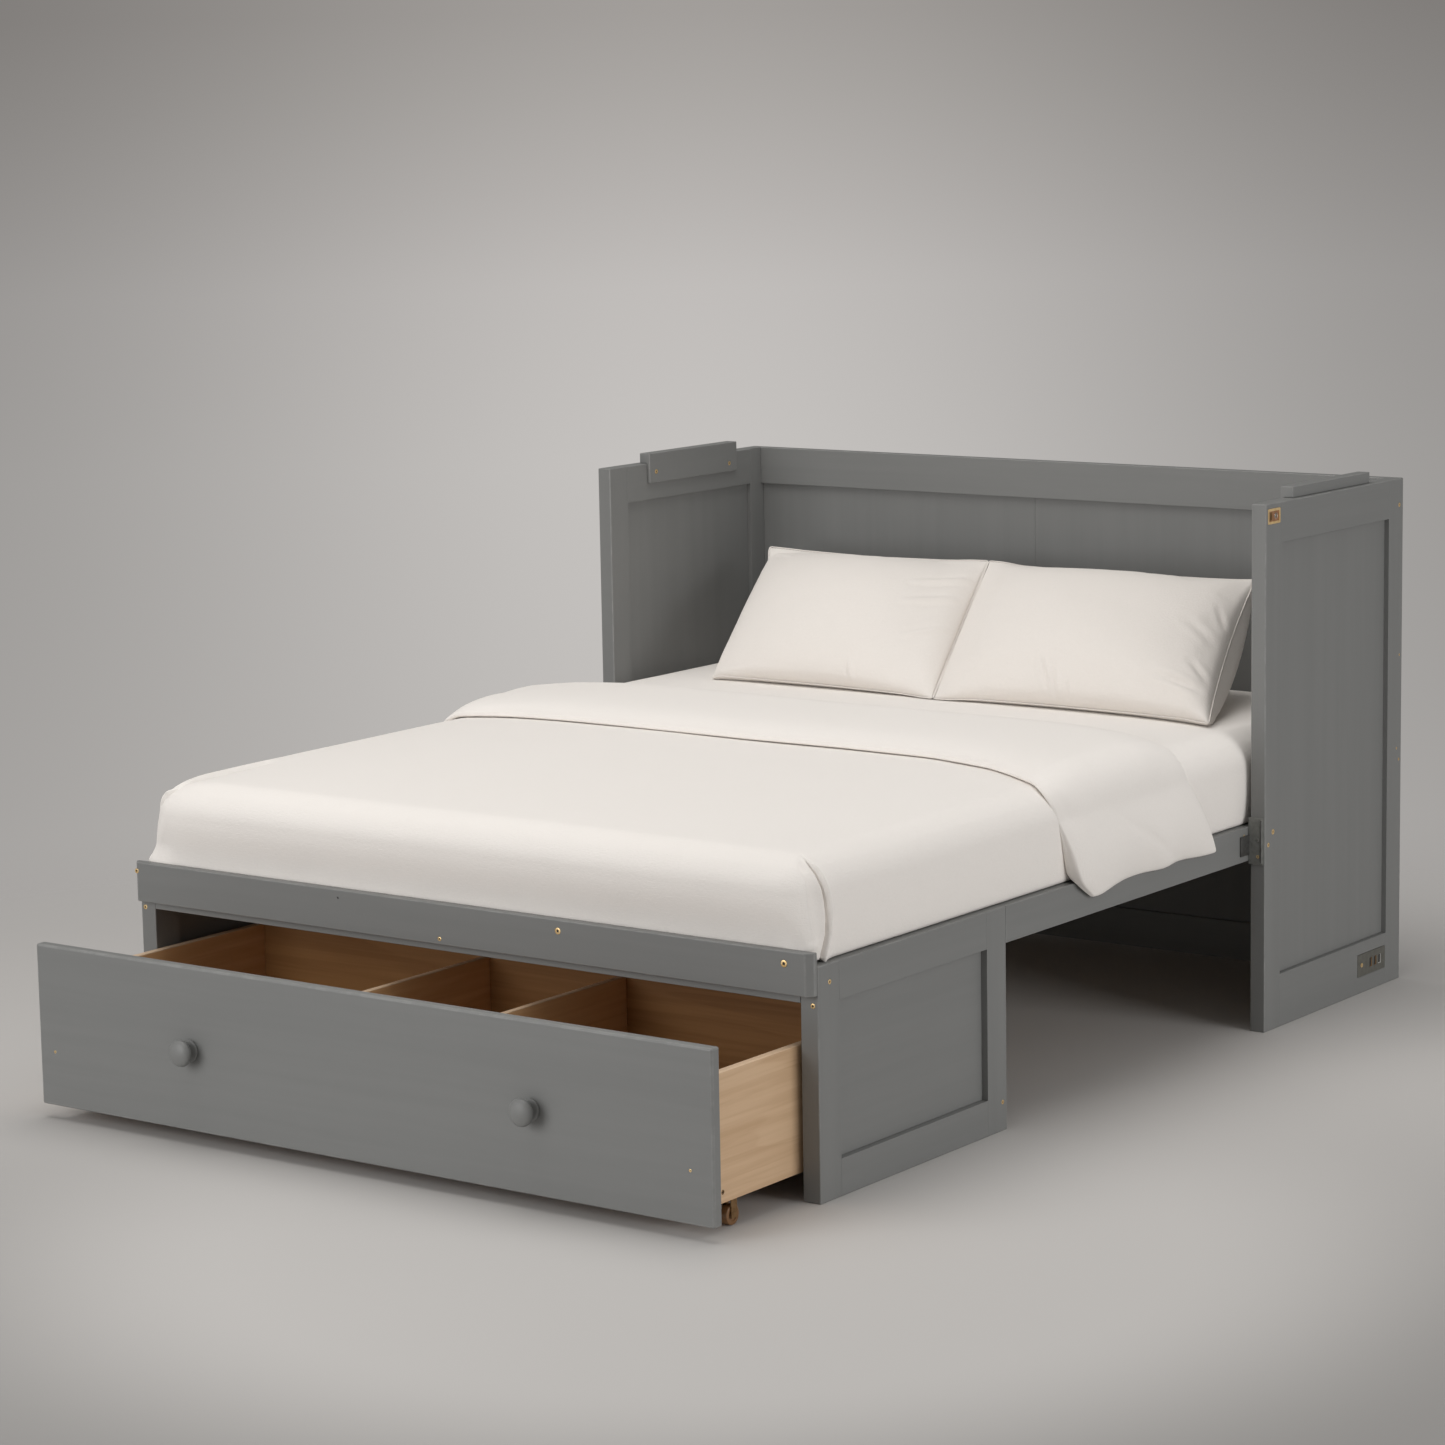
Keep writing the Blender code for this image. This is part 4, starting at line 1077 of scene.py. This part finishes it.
def columns(items, field="co"):
    """One vector of each item, such as the places of a mesh's points, as rows of X, Y and Z."""
    rows = np.empty(len(items) * 3, dtype=np.float32)
    items.foreach_get(field, rows)
    return rows.reshape(-1, 3).astype(float)


def put_points(mesh, rows):
    """Write changed points back to a mesh."""
    mesh.vertices.foreach_set("co", np.asarray(rows, dtype=np.float32).ravel())
    mesh.update()


def wander(rows, scale, seed=0.0):
    """Smooth noise between about -1 and 1 at each row's place."""
    shift = Vector((seed, seed, seed))
    return np.array([noise.noise(Vector(row) * scale + shift) for row in rows])


def bell(distance, width):
    """A smooth bump: 1 at no distance, and soon 0 past its width."""
    return np.exp(-(distance / width) ** 2)


def ease_in(value, low, high):
    """0 below low, 1 above high, and smooth between."""
    share = np.clip((value - low) / (high - low), 0.0, 1.0)
    return share * share * (3 - 2 * share)


print("cloth helpers ready")

# %% [markdown]
# A cover that is blown up by a little pressure gets the fine puckers of real cloth. Only a small
# part of each point's move is kept, so that the piece stays where its solid is.


# %% Filling
def fill(piece, pressure, cap, loose, frames=20):
    """Blow a cover up with cloth simulation, and keep at most a small part of each point's move."""
    before = columns(piece.data.vertices)
    cover = piece.modifiers.new("cover", "CLOTH")
    for setting, value in {
        "quality": 6, "mass": 0.25, "tension_stiffness": 18.0, "compression_stiffness": 18.0,
        "shear_stiffness": 6.0, "bending_stiffness": 0.6, "use_pressure": True,
        "uniform_pressure_force": pressure,
    }.items():
        setattr(cover.settings, setting, value)
    cover.settings.effector_weights.gravity = 0.0
    cover.collision_settings.use_collision = False
    cover.point_cache.frame_start, cover.point_cache.frame_end = 1, frames
    for frame_number in range(1, frames + 1):
        scene.frame_set(frame_number)
    settled = piece.evaluated_get(bpy.context.evaluated_depsgraph_get())
    moves = columns(settled.to_mesh().vertices) - before
    settled.to_mesh_clear()
    piece.modifiers.remove(cover)
    scene.frame_set(1)
    lengths = np.linalg.norm(moves, axis=1)
    kept = cap * np.tanh(lengths / cap) / np.maximum(lengths, 1e-9)
    put_points(piece.data, before + moves * (kept * loose)[:, None])
    return float((lengths * kept).max())


def lay_cloth(piece, node, finish):
    """Let a filled cover stand for its solid, in its finish."""
    dress(piece, "bed_linen", finish, node=node)


print("simulation skipped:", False)

# %% [markdown]
# The mattress wears a fitted cover, a block with rolled edges. Its grid lies close together in the
# rounded edges and even between them, so that the roll comes out round.

# %% Mattress grid
mattress_low, mattress_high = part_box("mattress")
middle = np.array((mattress_low + mattress_high) / 2)
half = np.array(mattress_high - mattress_low) / 2
crown, roll, tuck, roll_steps = 0.014, 0.058, 0.009, 13
half[2] -= crown / 2
middle[2] -= crown / 2
base_level, top_rim = middle[2] - half[2], middle[2] + half[2]


def crown_at(x, y):
    """How far the top rises above its rim: level in the middle, and falling late to all sides."""
    fall = (1 - (x / half[0]) ** 6) * (1 - ((y - middle[1]) / half[1]) ** 6)
    return crown * np.clip(fall, 0.0, 1.0)


def stations(reach, pitch, low_radius=roll, low_steps=roll_steps):
    """Places along one axis of a block, evenly turned in its rounded ends and even between."""
    def end(size, count):
        quarter = math.pi / 4
        return [reach - size + size * math.tan(quarter * step / count) for step in range(count + 1)]

    upper, lower = end(roll, roll_steps), end(low_radius, low_steps)
    start, stop = -lower[0], upper[0]
    count = max(2, round((stop - start) / pitch))
    between = [start + (stop - start) * step / count for step in range(1, count)]
    return np.array([-place for place in reversed(lower)] + between + upper)


def block_skin(places):
    """Grid points and faces of a block's six sides, and each face corner's flat coordinates."""
    found, rows, faces, flat = {}, [], [], []
    last = [len(line) - 1 for line in places]
    for fixed in range(3):
        first, second = [number for number in range(3) if number != fixed]
        for end in (0, last[fixed]):
            for a, b in np.ndindex(last[first], last[second]):
                ring = []
                for da, db in ((0, 0), (1, 0), (1, 1), (0, 1)):
                    index = [0, 0, 0]
                    index[fixed], index[first], index[second] = end, a + da, b + db
                    key = tuple(index)
                    if key not in found:
                        found[key] = len(rows)
                        rows.append([places[axis][key[axis]] for axis in range(3)])
                    ring.append(found[key])
                    flat.append((places[first][a + da], places[second][b + db]))
                faces.append(ring)
    return np.array(rows), faces, flat


rows, faces, flat = block_skin([
    stations(half[0], 0.022), stations(half[1], 0.022), stations(half[2], 0.006, tuck, 5),
])
print("mattress grid points:", len(rows))

# %% [markdown]
# The grid is rounded, its top is crowned, its sides belly out and tuck in at the rails, and small
# puckers run along its lower hem. The grid is divided again at the two foot corners, where the
# folds need finer points.

# %% Mattress cover
rounding = tuck + (roll - tuck) * ease_in(rows[:, 2], -half[2] + tuck, half[2] - roll)
core = np.clip(rows, -(half - rounding[:, None]), half - rounding[:, None])
out = rows - core
length = np.linalg.norm(out, axis=1)
out = out / np.maximum(length, 1e-9)[:, None]
points = np.where(length[:, None] > 0, core + out * rounding[:, None], rows)
level = (points[:, 2] + half[2]) / (2 * half[2])
aside = np.clip((np.abs(rows[:, :2]) - (half[:2] - roll)) / roll, 0.0, 1.0)
belly = 0.0105 * np.sin(np.pi * np.clip(level * 0.8 + 0.12, 0.0, 1.0))
foot_belly = belly * ease_in(level, 0.08, 0.62) * 1.15
points[:, 0] += np.sign(rows[:, 0]) * aside[:, 0] * belly
points[:, 1] -= (rows[:, 1] < 0) * aside[:, 1] * foot_belly
points += middle
points[:, 2] += crown_at(points[:, 0], points[:, 1]) * np.clip(level * 1.4 - 0.4, 0.0, 1.0)
slow = wander(points * (1.0, 1.0, 0.6), 3.1, 4.0) * 0.7 + wander(points, 9.0, 9.0) * 0.3
by_hem = ease_in(level, 0.02, 0.1) * (1 - ease_in(level, 0.2, 0.5))
puckers = wander(points * (1.0, 1.0, 0.3), 36.0, 6.0) * by_hem
points += out * (slow * 0.0016 * ease_in(level, 0.1, 0.5) + puckers * 0.0012)[:, None]
cover = skin("mattress_cover", points, faces, flat, cover_linen)
mesh = cover.data
corner_x, corner_y = half[0] - roll, middle[1] - (half[1] - roll)
with editing(cover, "FACE"):
    choose(cover, "faces", lambda face: (
        abs(face.calc_center_median().x) > corner_x - roll * 0.2
        and face.calc_center_median().y < corner_y + roll * 0.5
        and face.calc_center_median().z > base_level + 0.004
    ))
    bpy.ops.mesh.subdivide(number_cuts=2)
print("mattress cover faces:", len(mesh.polygons))

# %% [markdown]
# At each foot corner the cover is folded like an envelope: the side lies over the foot with a soft
# lip, a narrow dark gap runs down beside it, and the fold ends in a small hook.

# %% Corner folds
# how far round the corner the fold lies at each height
fold_heights = (0.0, 0.02, 0.046, 0.097, 0.123, 0.15, 0.168, 0.18)
fold_places = (0.066, 0.0698, 0.0769, 0.0762, 0.0729, 0.0668, 0.0577, 0.048)
points, out = columns(mesh.vertices), columns(mesh.vertex_normals, "vector")
for side in (-1, 1):
    dx, dy = side * points[:, 0] - corner_x, points[:, 1] - corner_y
    turn = np.arctan2(np.maximum(dx, 0.0), np.maximum(-dy, 0.0))
    along = np.where(dx <= 0, dx, np.where(dy >= 0, roll * np.pi / 2 + dy, roll * turn))
    height = points[:, 2] - base_level
    beside = along - np.interp(height, fold_heights, fold_places)
    beside += 0.0008 * wander(np.outer(height, (60.0, 0, 0)) + (0, side * 3.0, 1.0), 1.0)
    by_foot = dy < 0.2
    strength = (1 - ease_in(height, 0.156, 0.178)) * (np.abs(beside) < 0.12) * by_foot
    squeeze = 0.017 * bell(along - 0.04, 0.055) * ease_in(height, 0.01, 0.06)
    lip = 0.005 * bell(beside - 0.005, 0.0042) + 0.0024 * bell(beside - 0.013, 0.011)
    gap = -0.012 * bell(beside + 0.0006, 0.0017)
    hollow = -0.0052 * bell(beside + 0.016, 0.012) * (beside < 0)
    swell = 0.0022 * bell(beside + 0.05, 0.024)
    knuckle = 0.004 * bell(beside + 0.02, 0.01) * bell(height - 0.03, 0.01)
    fold = (lip + gap + hollow + swell + knuckle) * strength
    points += out * (fold - squeeze * (side < 0) * by_foot)[:, None]
points[:, 2] = np.maximum(points[:, 2], base_level)
put_points(mesh, points)
lay_cloth(cover, "mattress", cover_linen)
print("fold heights:", len(fold_heights))

# %% [markdown]
# The quilt's folded band has a thick soft roll towards the foot, a top that fades into the bedding
# towards the head, and on each side a flap that hangs outside the rail. Its grid follows a path
# over the mattress and down its side.

# %% Quilt path
lift, drop, flap_x = 0.0012, 0.15, 0.7865
flat_x = half[0] - roll


def quilt_path(count_flat, count_round, count_down):
    """Stations from the middle over one side: X, height, outward direction and how far it hangs."""
    path = []
    for step in range(count_flat + 1):
        x = flat_x * step / count_flat
        path.append((x, top_rim + float(crown_at(x, middle[1])) + lift, 0.0, 1.0, 0.0))
    start, reach = path[-1][1], roll + lift
    for step in range(1, count_round + 1):
        angle = math.pi / 2 * step / count_round
        path.append((
            flat_x + reach * math.sin(angle), start - reach * (1 - math.cos(angle)),
            math.sin(angle), math.cos(angle), 0.0,
        ))
    shoulder = path[-1]
    for step in range(1, count_down + 1):
        hang = step / count_down
        eased = math.sin(math.pi / 2 * min(1.0, hang / 0.75))
        path.append((shoulder[0] + (flap_x - shoulder[0]) * eased, shoulder[1], 1.0, 0.0, hang))
    return path


half_path = quilt_path(56, 9, 14)
path = [(-x, z, -ox, oz, hang) for x, z, ox, oz, hang in reversed(half_path[1:])] + half_path
walked = np.concatenate([[0.0], np.cumsum([
    math.hypot(b[0] - a[0], b[1] - a[1] + (b[4] - a[4]) * drop) for a, b in zip(path, path[1:])
])])
walked -= walked[-1] / 2
shoulder_walk = flat_x + (roll + lift) * math.pi / 2
# the band's foot edge and head edge on each side, as (way walked from the middle, Y)
foot_edges = {
    1.0: np.array([
        (0.0, 0.028), (0.217, 0.035), (0.426, 0.029), (0.576, -0.005), (0.64, -0.035),
        (0.687, -0.061), (0.72, -0.08), (0.751, -0.093), (0.797, -0.083), (0.853, -0.068),
        (0.902, -0.054), (0.926, -0.036), (0.94, -0.01), (0.95, 0.022),
    ]),
    -1.0: np.array([
        (0.0, 0.028), (0.28, 0.032), (0.452, 0.033), (0.599, 0.028), (0.695, 0.014),
        (0.751, 0.004), (0.797, 0.004), (0.853, 0.008), (0.902, 0.014), (0.93, 0.024),
        (0.95, 0.036),
    ]),
}
head_edge = np.array([
    (0.0, 0.46), (0.45, 0.466), (0.533, 0.464), (0.649, 0.443), (0.705, 0.406),
    (0.751, 0.386), (0.797, 0.4), (0.871, 0.428), (0.95, 0.464),
])
print("quilt path stations:", len(path))

# %% [markdown]
# Every station on the path has a closed ring of points: along the underside, round the roll, back
# over the top, and round the other edge. Three lists say for each point of the ring how far it
# lies towards the head, how far it is lifted off the underside, and how far it bulges out.


# %% Quilt ring
def soft_place(knots, where):
    """A place on a soft line through a table: straight pieces, averaged over a short way."""
    shifts = np.linspace(-0.016, 0.016, 9)
    return float(sum(np.interp(where + shift, knots[:, 0], knots[:, 1]) for shift in shifts) / 9)


# round the ring: each point's share of the way to the head, its lift off the underside, its bulge
across_steps, fold_steps, edge_steps = 44, 7, 3
fold_turn, edge_turn = (
    np.pi * np.arange(1, steps + 1) / (steps + 1) for steps in (fold_steps, edge_steps)
)
level_run = np.zeros(across_steps + 1)
share = np.concatenate([
    np.linspace(1.0, 0.0, across_steps + 1), 0 * fold_turn, np.linspace(0.0, 1.0, across_steps + 1),
    0 * edge_turn + 1,
])
lifted = np.concatenate([
    level_run, (1 - np.cos(fold_turn)) / 2, level_run + 1, (1 + np.cos(edge_turn)) / 2,
])
bulge = np.concatenate([level_run, -np.sin(fold_turn), level_run, np.sin(edge_turn)])
ring_size = len(share)
print("points in a ring:", ring_size)

# %% [markdown]
# At each station the ring is set between the band's two edges, and thickness, creases and the sway
# of the hanging flap are added. The ends are closed, and the cover is filled a little.

# %% Quilt
hem_level, hem_width, rail_top = 0.3875, 0.03, 0.405
points, flat_rows = [], []
for (x, z, out_x, out_z, hang), way in zip(path, walked):
    side, way_out = (1.0, way) if way >= 0 else (-1.0, -way)
    foot_y, head_y = soft_place(foot_edges[side], way_out), soft_place(head_edge, way_out)
    y = foot_y + (head_y - foot_y) * share
    from_foot, from_head = y - foot_y, head_y - y
    to_hem = (1 - hang) * drop
    on_side = float(ease_in(way_out, shoulder_walk - 0.07, shoulder_walk + 0.01))
    hem_z = hem_level - 0.014 * bell(from_foot - 0.012, 0.05) - 0.006 * bell(from_head, 0.06)
    hem_z = hem_z + 0.0014 * np.sin(y * 41.0 + side)
    height = z + (hem_z - z) * hang
    # the band is thick along its foot edge, and thins towards its head edge and its hems
    top_thick = 0.013 + 0.019 * (1 - np.exp(-from_foot / 0.055))
    top_thick = top_thick * (0.06 + 0.94 * ease_in(from_head, 0.0, 0.17) ** 0.6)
    edges = (1 - np.exp(-from_foot / 0.026)) * (1 - np.exp(-from_head / 0.03))
    side_thick = 0.0042 + 0.017 * edges * (1 - math.exp(-to_hem / hem_width))
    side_thick = side_thick + 0.008 * np.exp(-from_foot / 0.03) * min(1.0, to_hem / hem_width)
    thick = top_thick * (1 - on_side) + side_thick * on_side
    sway = hang ** 1.4 * (
        0.0038 * np.sin(y * 27.0 + 0.8 * side) * bell(y - 0.24, 0.16)
        + 0.0018 * np.sin(y * 61.0 - 3.2 * hang + side) * bell(y - 0.22, 0.12)
    )
    crease = -on_side * (
        0.0032 * bell(y - 0.15 - 0.24 * (hang - 0.35), 0.013) * bell(hang - 0.42, 0.33)
        + 0.0026 * bell(y - 0.215 - 0.2 * (hang - 0.55), 0.01) * bell(hang - 0.6, 0.25)
    )
    pinch = -0.004 * bell(from_foot - 0.02, 0.014) * bell(way_out - shoulder_walk + 0.012, 0.03)
    # above the rail the fold's under side lies back against the mattress, so no gap shows there
    tucked = np.maximum(x * side - 0.77, 0.0) * on_side * (hang > 0) * (1 - lifted)
    tucked = tucked * ease_in(height, rail_top, rail_top + 0.02) * np.exp(-from_foot / 0.06)
    out = thick * lifted + sway + (crease + pinch) * lifted - tucked
    push = bulge * np.where(share < 0.5, 0.009 * (1 - on_side) + 0.006 * on_side, 0.0012)
    points.append(np.column_stack([x + out_x * out, y + push, height + out_z * out]))
    flat_rows.append(np.column_stack([np.full(ring_size, way), y + push * 2 + lifted * 0.02]))
flat_grid = np.concatenate(flat_rows)
faces = []
for station in range(len(path) - 1):
    a, b = station * ring_size, (station + 1) * ring_size
    for number in range(ring_size):
        following = (number + 1) % ring_size
        faces.append([a + number, b + number, b + following, a + following])
top_start = across_steps + 1 + fold_steps
for start in (0, (len(path) - 1) * ring_size):
    for step in range(across_steps):
        under, over = start + step, start + top_start + across_steps - step
        faces.append([under, under + 1, over - 1, over])
    faces.append([start + number for number in range(across_steps, top_start + 1)])
    last = range(top_start + across_steps, ring_size)
    faces.append([start + number for number in last] + [start])
flat = [flat_grid[index] for face in faces for index in face]
quilt = skin("quilt_band", np.concatenate(points), faces, flat, cover_linen)
free = np.tile(lifted, len(path)) > 0.4
moved = fill(quilt, 2.0, 0.0035, np.where(free, 1.0, 0.0))
apply_modifier(quilt, "SUBSURF", levels=1, render_levels=1)
lay_cloth(quilt, "duvet", cover_linen)
print("quilt faces:", len(quilt.data.polygons), "filled by", round(moved * 1000, 1), "mm")

# %% [markdown]
# A pillow is two sheets sewn together round a filling: the sides pull in between the corners, the
# front is crowned, and the back sinks onto the bed, which props the pillow up. Each point keeps
# its flat place and its sheet, on which the creases are laid later.


# %% Pillow shape
def bed_level(x, y):
    """The height of the mattress cover's top."""
    return top_rim + crown_at(x, y)


def pillow(name, node, left_x, width, pressed, creases):
    """A propped pillow with its seams, puckers and creases. It is pressed flat on one side."""
    across, deep, depth = 78, 56, 0.47
    tilt, lean, loft, belly, rest_gap = math.radians(30.0), -0.12, 0.086, 0.15, 0.0006
    middle_x, front_y = left_x + width / 2, 0.633
    base = np.array((middle_x, front_y, float(bed_level(middle_x, front_y)) + 0.003))
    up = np.array((lean / depth, math.cos(tilt), math.sin(tilt)))
    outward = np.array((0.0, -math.sin(tilt), math.cos(tilt)))
    centre = base + up * depth / 2
    u_line, v_line = (
        0.7 * even + 0.3 * np.sin(np.pi / 2 * even)
        for even in (np.linspace(-1, 1, across + 1), np.linspace(-1, 1, deep + 1))
    )
    rows, lay_rows, faces, index = [], [], [], {}
    for front in (True, False):
        for i, j in np.ndindex(across + 1, deep + 1):
            on_seam = i in (0, across) or j in (0, deep)
            if on_seam and not front:
                index[front, i, j] = index[True, i, j]
                continue
            u, v = u_line[i], v_line[j]
            by_other = u * pressed > 0
            x = width / 2 * u * (1 - (0.003 if by_other else 0.032) * (1 - v * v))
            y = depth / 2 * v * (1 - 0.022 * (1 - u * u))
            side_full = max(0.0, 1 - u * u) ** (0.7 if by_other else 0.46)
            rise = 0.42 + 0.44 * min(1.0, max(0.0, (v + 0.3) / 1.3)) if front else 0.5
            full = side_full * max(0.0, 1 - v * v) ** rise
            spot = np.array((x, 0.0, 0.0))
            if u * pressed < 0:
                # the free side swings out beyond its seam, the back sheet more than the front
                ride_out = (1 - abs(u)) / (0.1 if front else 0.07)
                swing = math.copysign(0.005 if front else 0.024, u)
                spot[0] += swing * ride_out * math.exp(1 - ride_out) * (1 - v * v) ** 0.6
            out = outward * ((loft if front else -belly) * full)
            point = centre + spot + up * y + out
            if on_seam or not front:
                point[2] = max(point[2], float(bed_level(point[0], point[1])) + rest_gap)
            index[front, i, j] = len(rows)
            rows.append(point)
            lay_rows.append((x, y, 0.5 if on_seam else float(front)))
        for i, j in np.ndindex(across, deep):
            corners = ((i, j), (i + 1, j), (i + 1, j + 1), (i, j + 1))
            faces.append([index[(front, *corner)] for corner in corners])
    flat = [lay_rows[number][:2] for face in faces for number in face]
    piece = skin(name, np.array(rows), faces, flat, shaded_pillow_linen)
    lay_rows = np.array(lay_rows)
    lay = piece.data.attributes.new("lay", "FLOAT_VECTOR", "POINT")
    lay.data.foreach_set("vector", lay_rows.astype(np.float32).ravel())
    rows = columns(piece.data.vertices)
    resting = rows[:, 2] < bed_level(rows[:, 0], rows[:, 1]) + 0.002
    touching = ease_in(lay_rows[:, 0] * pressed / (width / 2), 0.7, 0.92)
    moved = fill(piece, 4.5, 0.007, np.where(resting, 0.0, 1.0 - touching))
    rows = columns(piece.data.vertices)
    rows[:, 2] = np.maximum(rows[:, 2], bed_level(rows[:, 0], rows[:, 1]) + rest_gap)
    put_points(piece.data, rows)
    round_seam = [(i, 0) for i in range(across)] + [(across, j) for j in range(deep)]
    round_seam += [(i, deep) for i in range(across, 0, -1)] + [(0, j) for j in range(deep, 0, -1)]
    seam_points = rows[[index[(True, *corner)] for corner in round_seam]]
    apply_modifier(piece, "SUBSURF", levels=1, render_levels=1)
    split_corners(piece)
    crease_pillow(piece, creases, np.array((width / 2, depth / 2)))
    welt(piece, seam_points, 0.0014)
    lay_cloth(piece, node, shaded_pillow_linen)
    print(name, "faces:", len(piece.data.polygons), "filled by", round(moved * 1000, 1), "mm")


print("pillow shape ready")

# %% [markdown]
# A crease is a short groove with a soft ridge beside it, pressed in along a line on the pillow's
# front. The seam is a thin round welt, joined to the pillow as part of its cover.


# %% Seams and creases
def split_corners(piece):
    """Cut each corner face through the corner, so that the two sheets share no whole triangle."""
    shape = bmesh.new()
    shape.from_mesh(piece.data)
    lay = shape.verts.layers.float_vector["lay"]
    for face in list(shape.faces):
        corners = list(face.verts)
        loose = [n for n, corner in enumerate(corners) if abs(corner[lay].z - 0.5) > 0.0001]
        if len(corners) == 4 and len(loose) == 1:
            bmesh.utils.face_split(face, corners[loose[0]], corners[(loose[0] + 2) % 4])
    shape.to_mesh(piece.data)
    shape.free()


def crease_pillow(piece, creases, scale):
    """Press creases into a pillow's front: each is a short line in its flat coordinates."""
    mesh = piece.data
    rows, facing = columns(mesh.vertices), columns(mesh.vertex_normals, "vector")
    lay = columns(mesh.attributes["lay"].data, "vector")
    spot = lay[:, :2] / scale
    change = np.zeros(len(rows))
    for (start, end, bulk, deep) in creases:
        line = (np.array(end) - start) * scale
        away = (spot - start) * scale
        along = np.clip(away @ line / (line @ line), 0.0, 1.0)
        gap = np.linalg.norm(away - along[:, None] * line, axis=1)
        ends = np.sin(np.pi * np.clip(along * 0.9 + 0.05, 0.0, 1.0)) ** 0.7
        change += ends * (bell(gap - bulk * 1.9, bulk) * 0.5 * deep - bell(gap, bulk) * deep)
    sheet = lay * (1.0, 1.0, 0.3)
    soft = wander(sheet, 7.0, 2.0) * 0.0022 + wander(sheet, 19.0, 5.0) * 0.0008
    inside = ease_in(1 - np.abs(spot).max(axis=1), 0.0, 0.1)
    rows += facing * ((change + soft * inside) * (lay[:, 2] > 0.6))[:, None]
    put_points(mesh, rows)


def welt(piece, line, radius, sides=6):
    """A thin round welt along a closed line of points, joined to the piece as part of its cover."""
    count = len(line)
    line = (np.roll(line, 1, axis=0) + 2 * line + np.roll(line, -1, axis=0)) / 4
    ahead = np.roll(line, -1, axis=0) - np.roll(line, 1, axis=0)
    ahead /= np.linalg.norm(ahead, axis=1)[:, None]
    first = np.cross(ahead, (0.1, 0.3, 1.0))
    first /= np.linalg.norm(first, axis=1)[:, None]
    second = np.cross(ahead, first)
    turns = [2 * math.pi * number / sides for number in range(sides)]
    rows = [line + radius * (math.cos(t) * first + math.sin(t) * second) for t in turns]
    faces, flat = [], []
    for number, step in np.ndindex(sides, count):
        a, b = number * count, ((number + 1) % sides) * count
        after = (step + 1) % count
        faces.append([a + step, a + after, b + after, b + step])
        for place, turn in ((0, 0), (1, 0), (1, 1), (0, 1)):
            flat.append(((step + place) * 0.008, (number + turn) * 0.0015))
    ring = skin(f"{piece.name}_welt", np.concatenate(rows), faces, flat, shaded_pillow_linen)
    take(piece)
    ring.select_set(True)
    bpy.ops.object.join()


print("seams and creases ready")

# %% [markdown]
# The right pillow lies in front of the left one. Its creases follow the photograph: short upright
# ones at the middle of its lower edge, a deep one at its lower right corner, and slanting ones
# along its right seam. The left pillow is nearly smooth, with soft folds where the right one
# presses.

# %% Pillows
right_creases = [
    ((-0.15, -0.93), (-0.22, -0.66), 0.005, 0.004), ((-0.1, -0.96), (-0.12, -0.76), 0.0042, 0.0034),
    ((-0.03, -0.97), (-0.01, -0.86), 0.0045, 0.0028), ((0.64, -0.7), (0.9, -0.74), 0.008, 0.0052),
    ((0.8, -0.46), (0.93, -0.6), 0.008, 0.0026), ((0.7, 0.02), (0.9, -0.14), 0.011, 0.0022),
    ((0.86, 0.34), (0.94, 0.1), 0.007, 0.002),
]
left_creases = [
    ((0.58, 0.34), (0.94, 0.6), 0.008, 0.004), ((0.56, 0.02), (0.9, 0.26), 0.008, 0.0036),
    ((0.66, -0.4), (0.92, -0.16), 0.007, 0.0034), ((0.3, -0.96), (0.27, -0.8), 0.0045, 0.0028),
    ((-0.86, 0.86), (-0.7, 0.72), 0.007, 0.004),
]
pillow("pillow_right_case", "pillow_right", 0.031, 0.655, -1, right_creases)
pillow("pillow_left_case", "pillow_left", -0.543, 0.572, 1, left_creases)
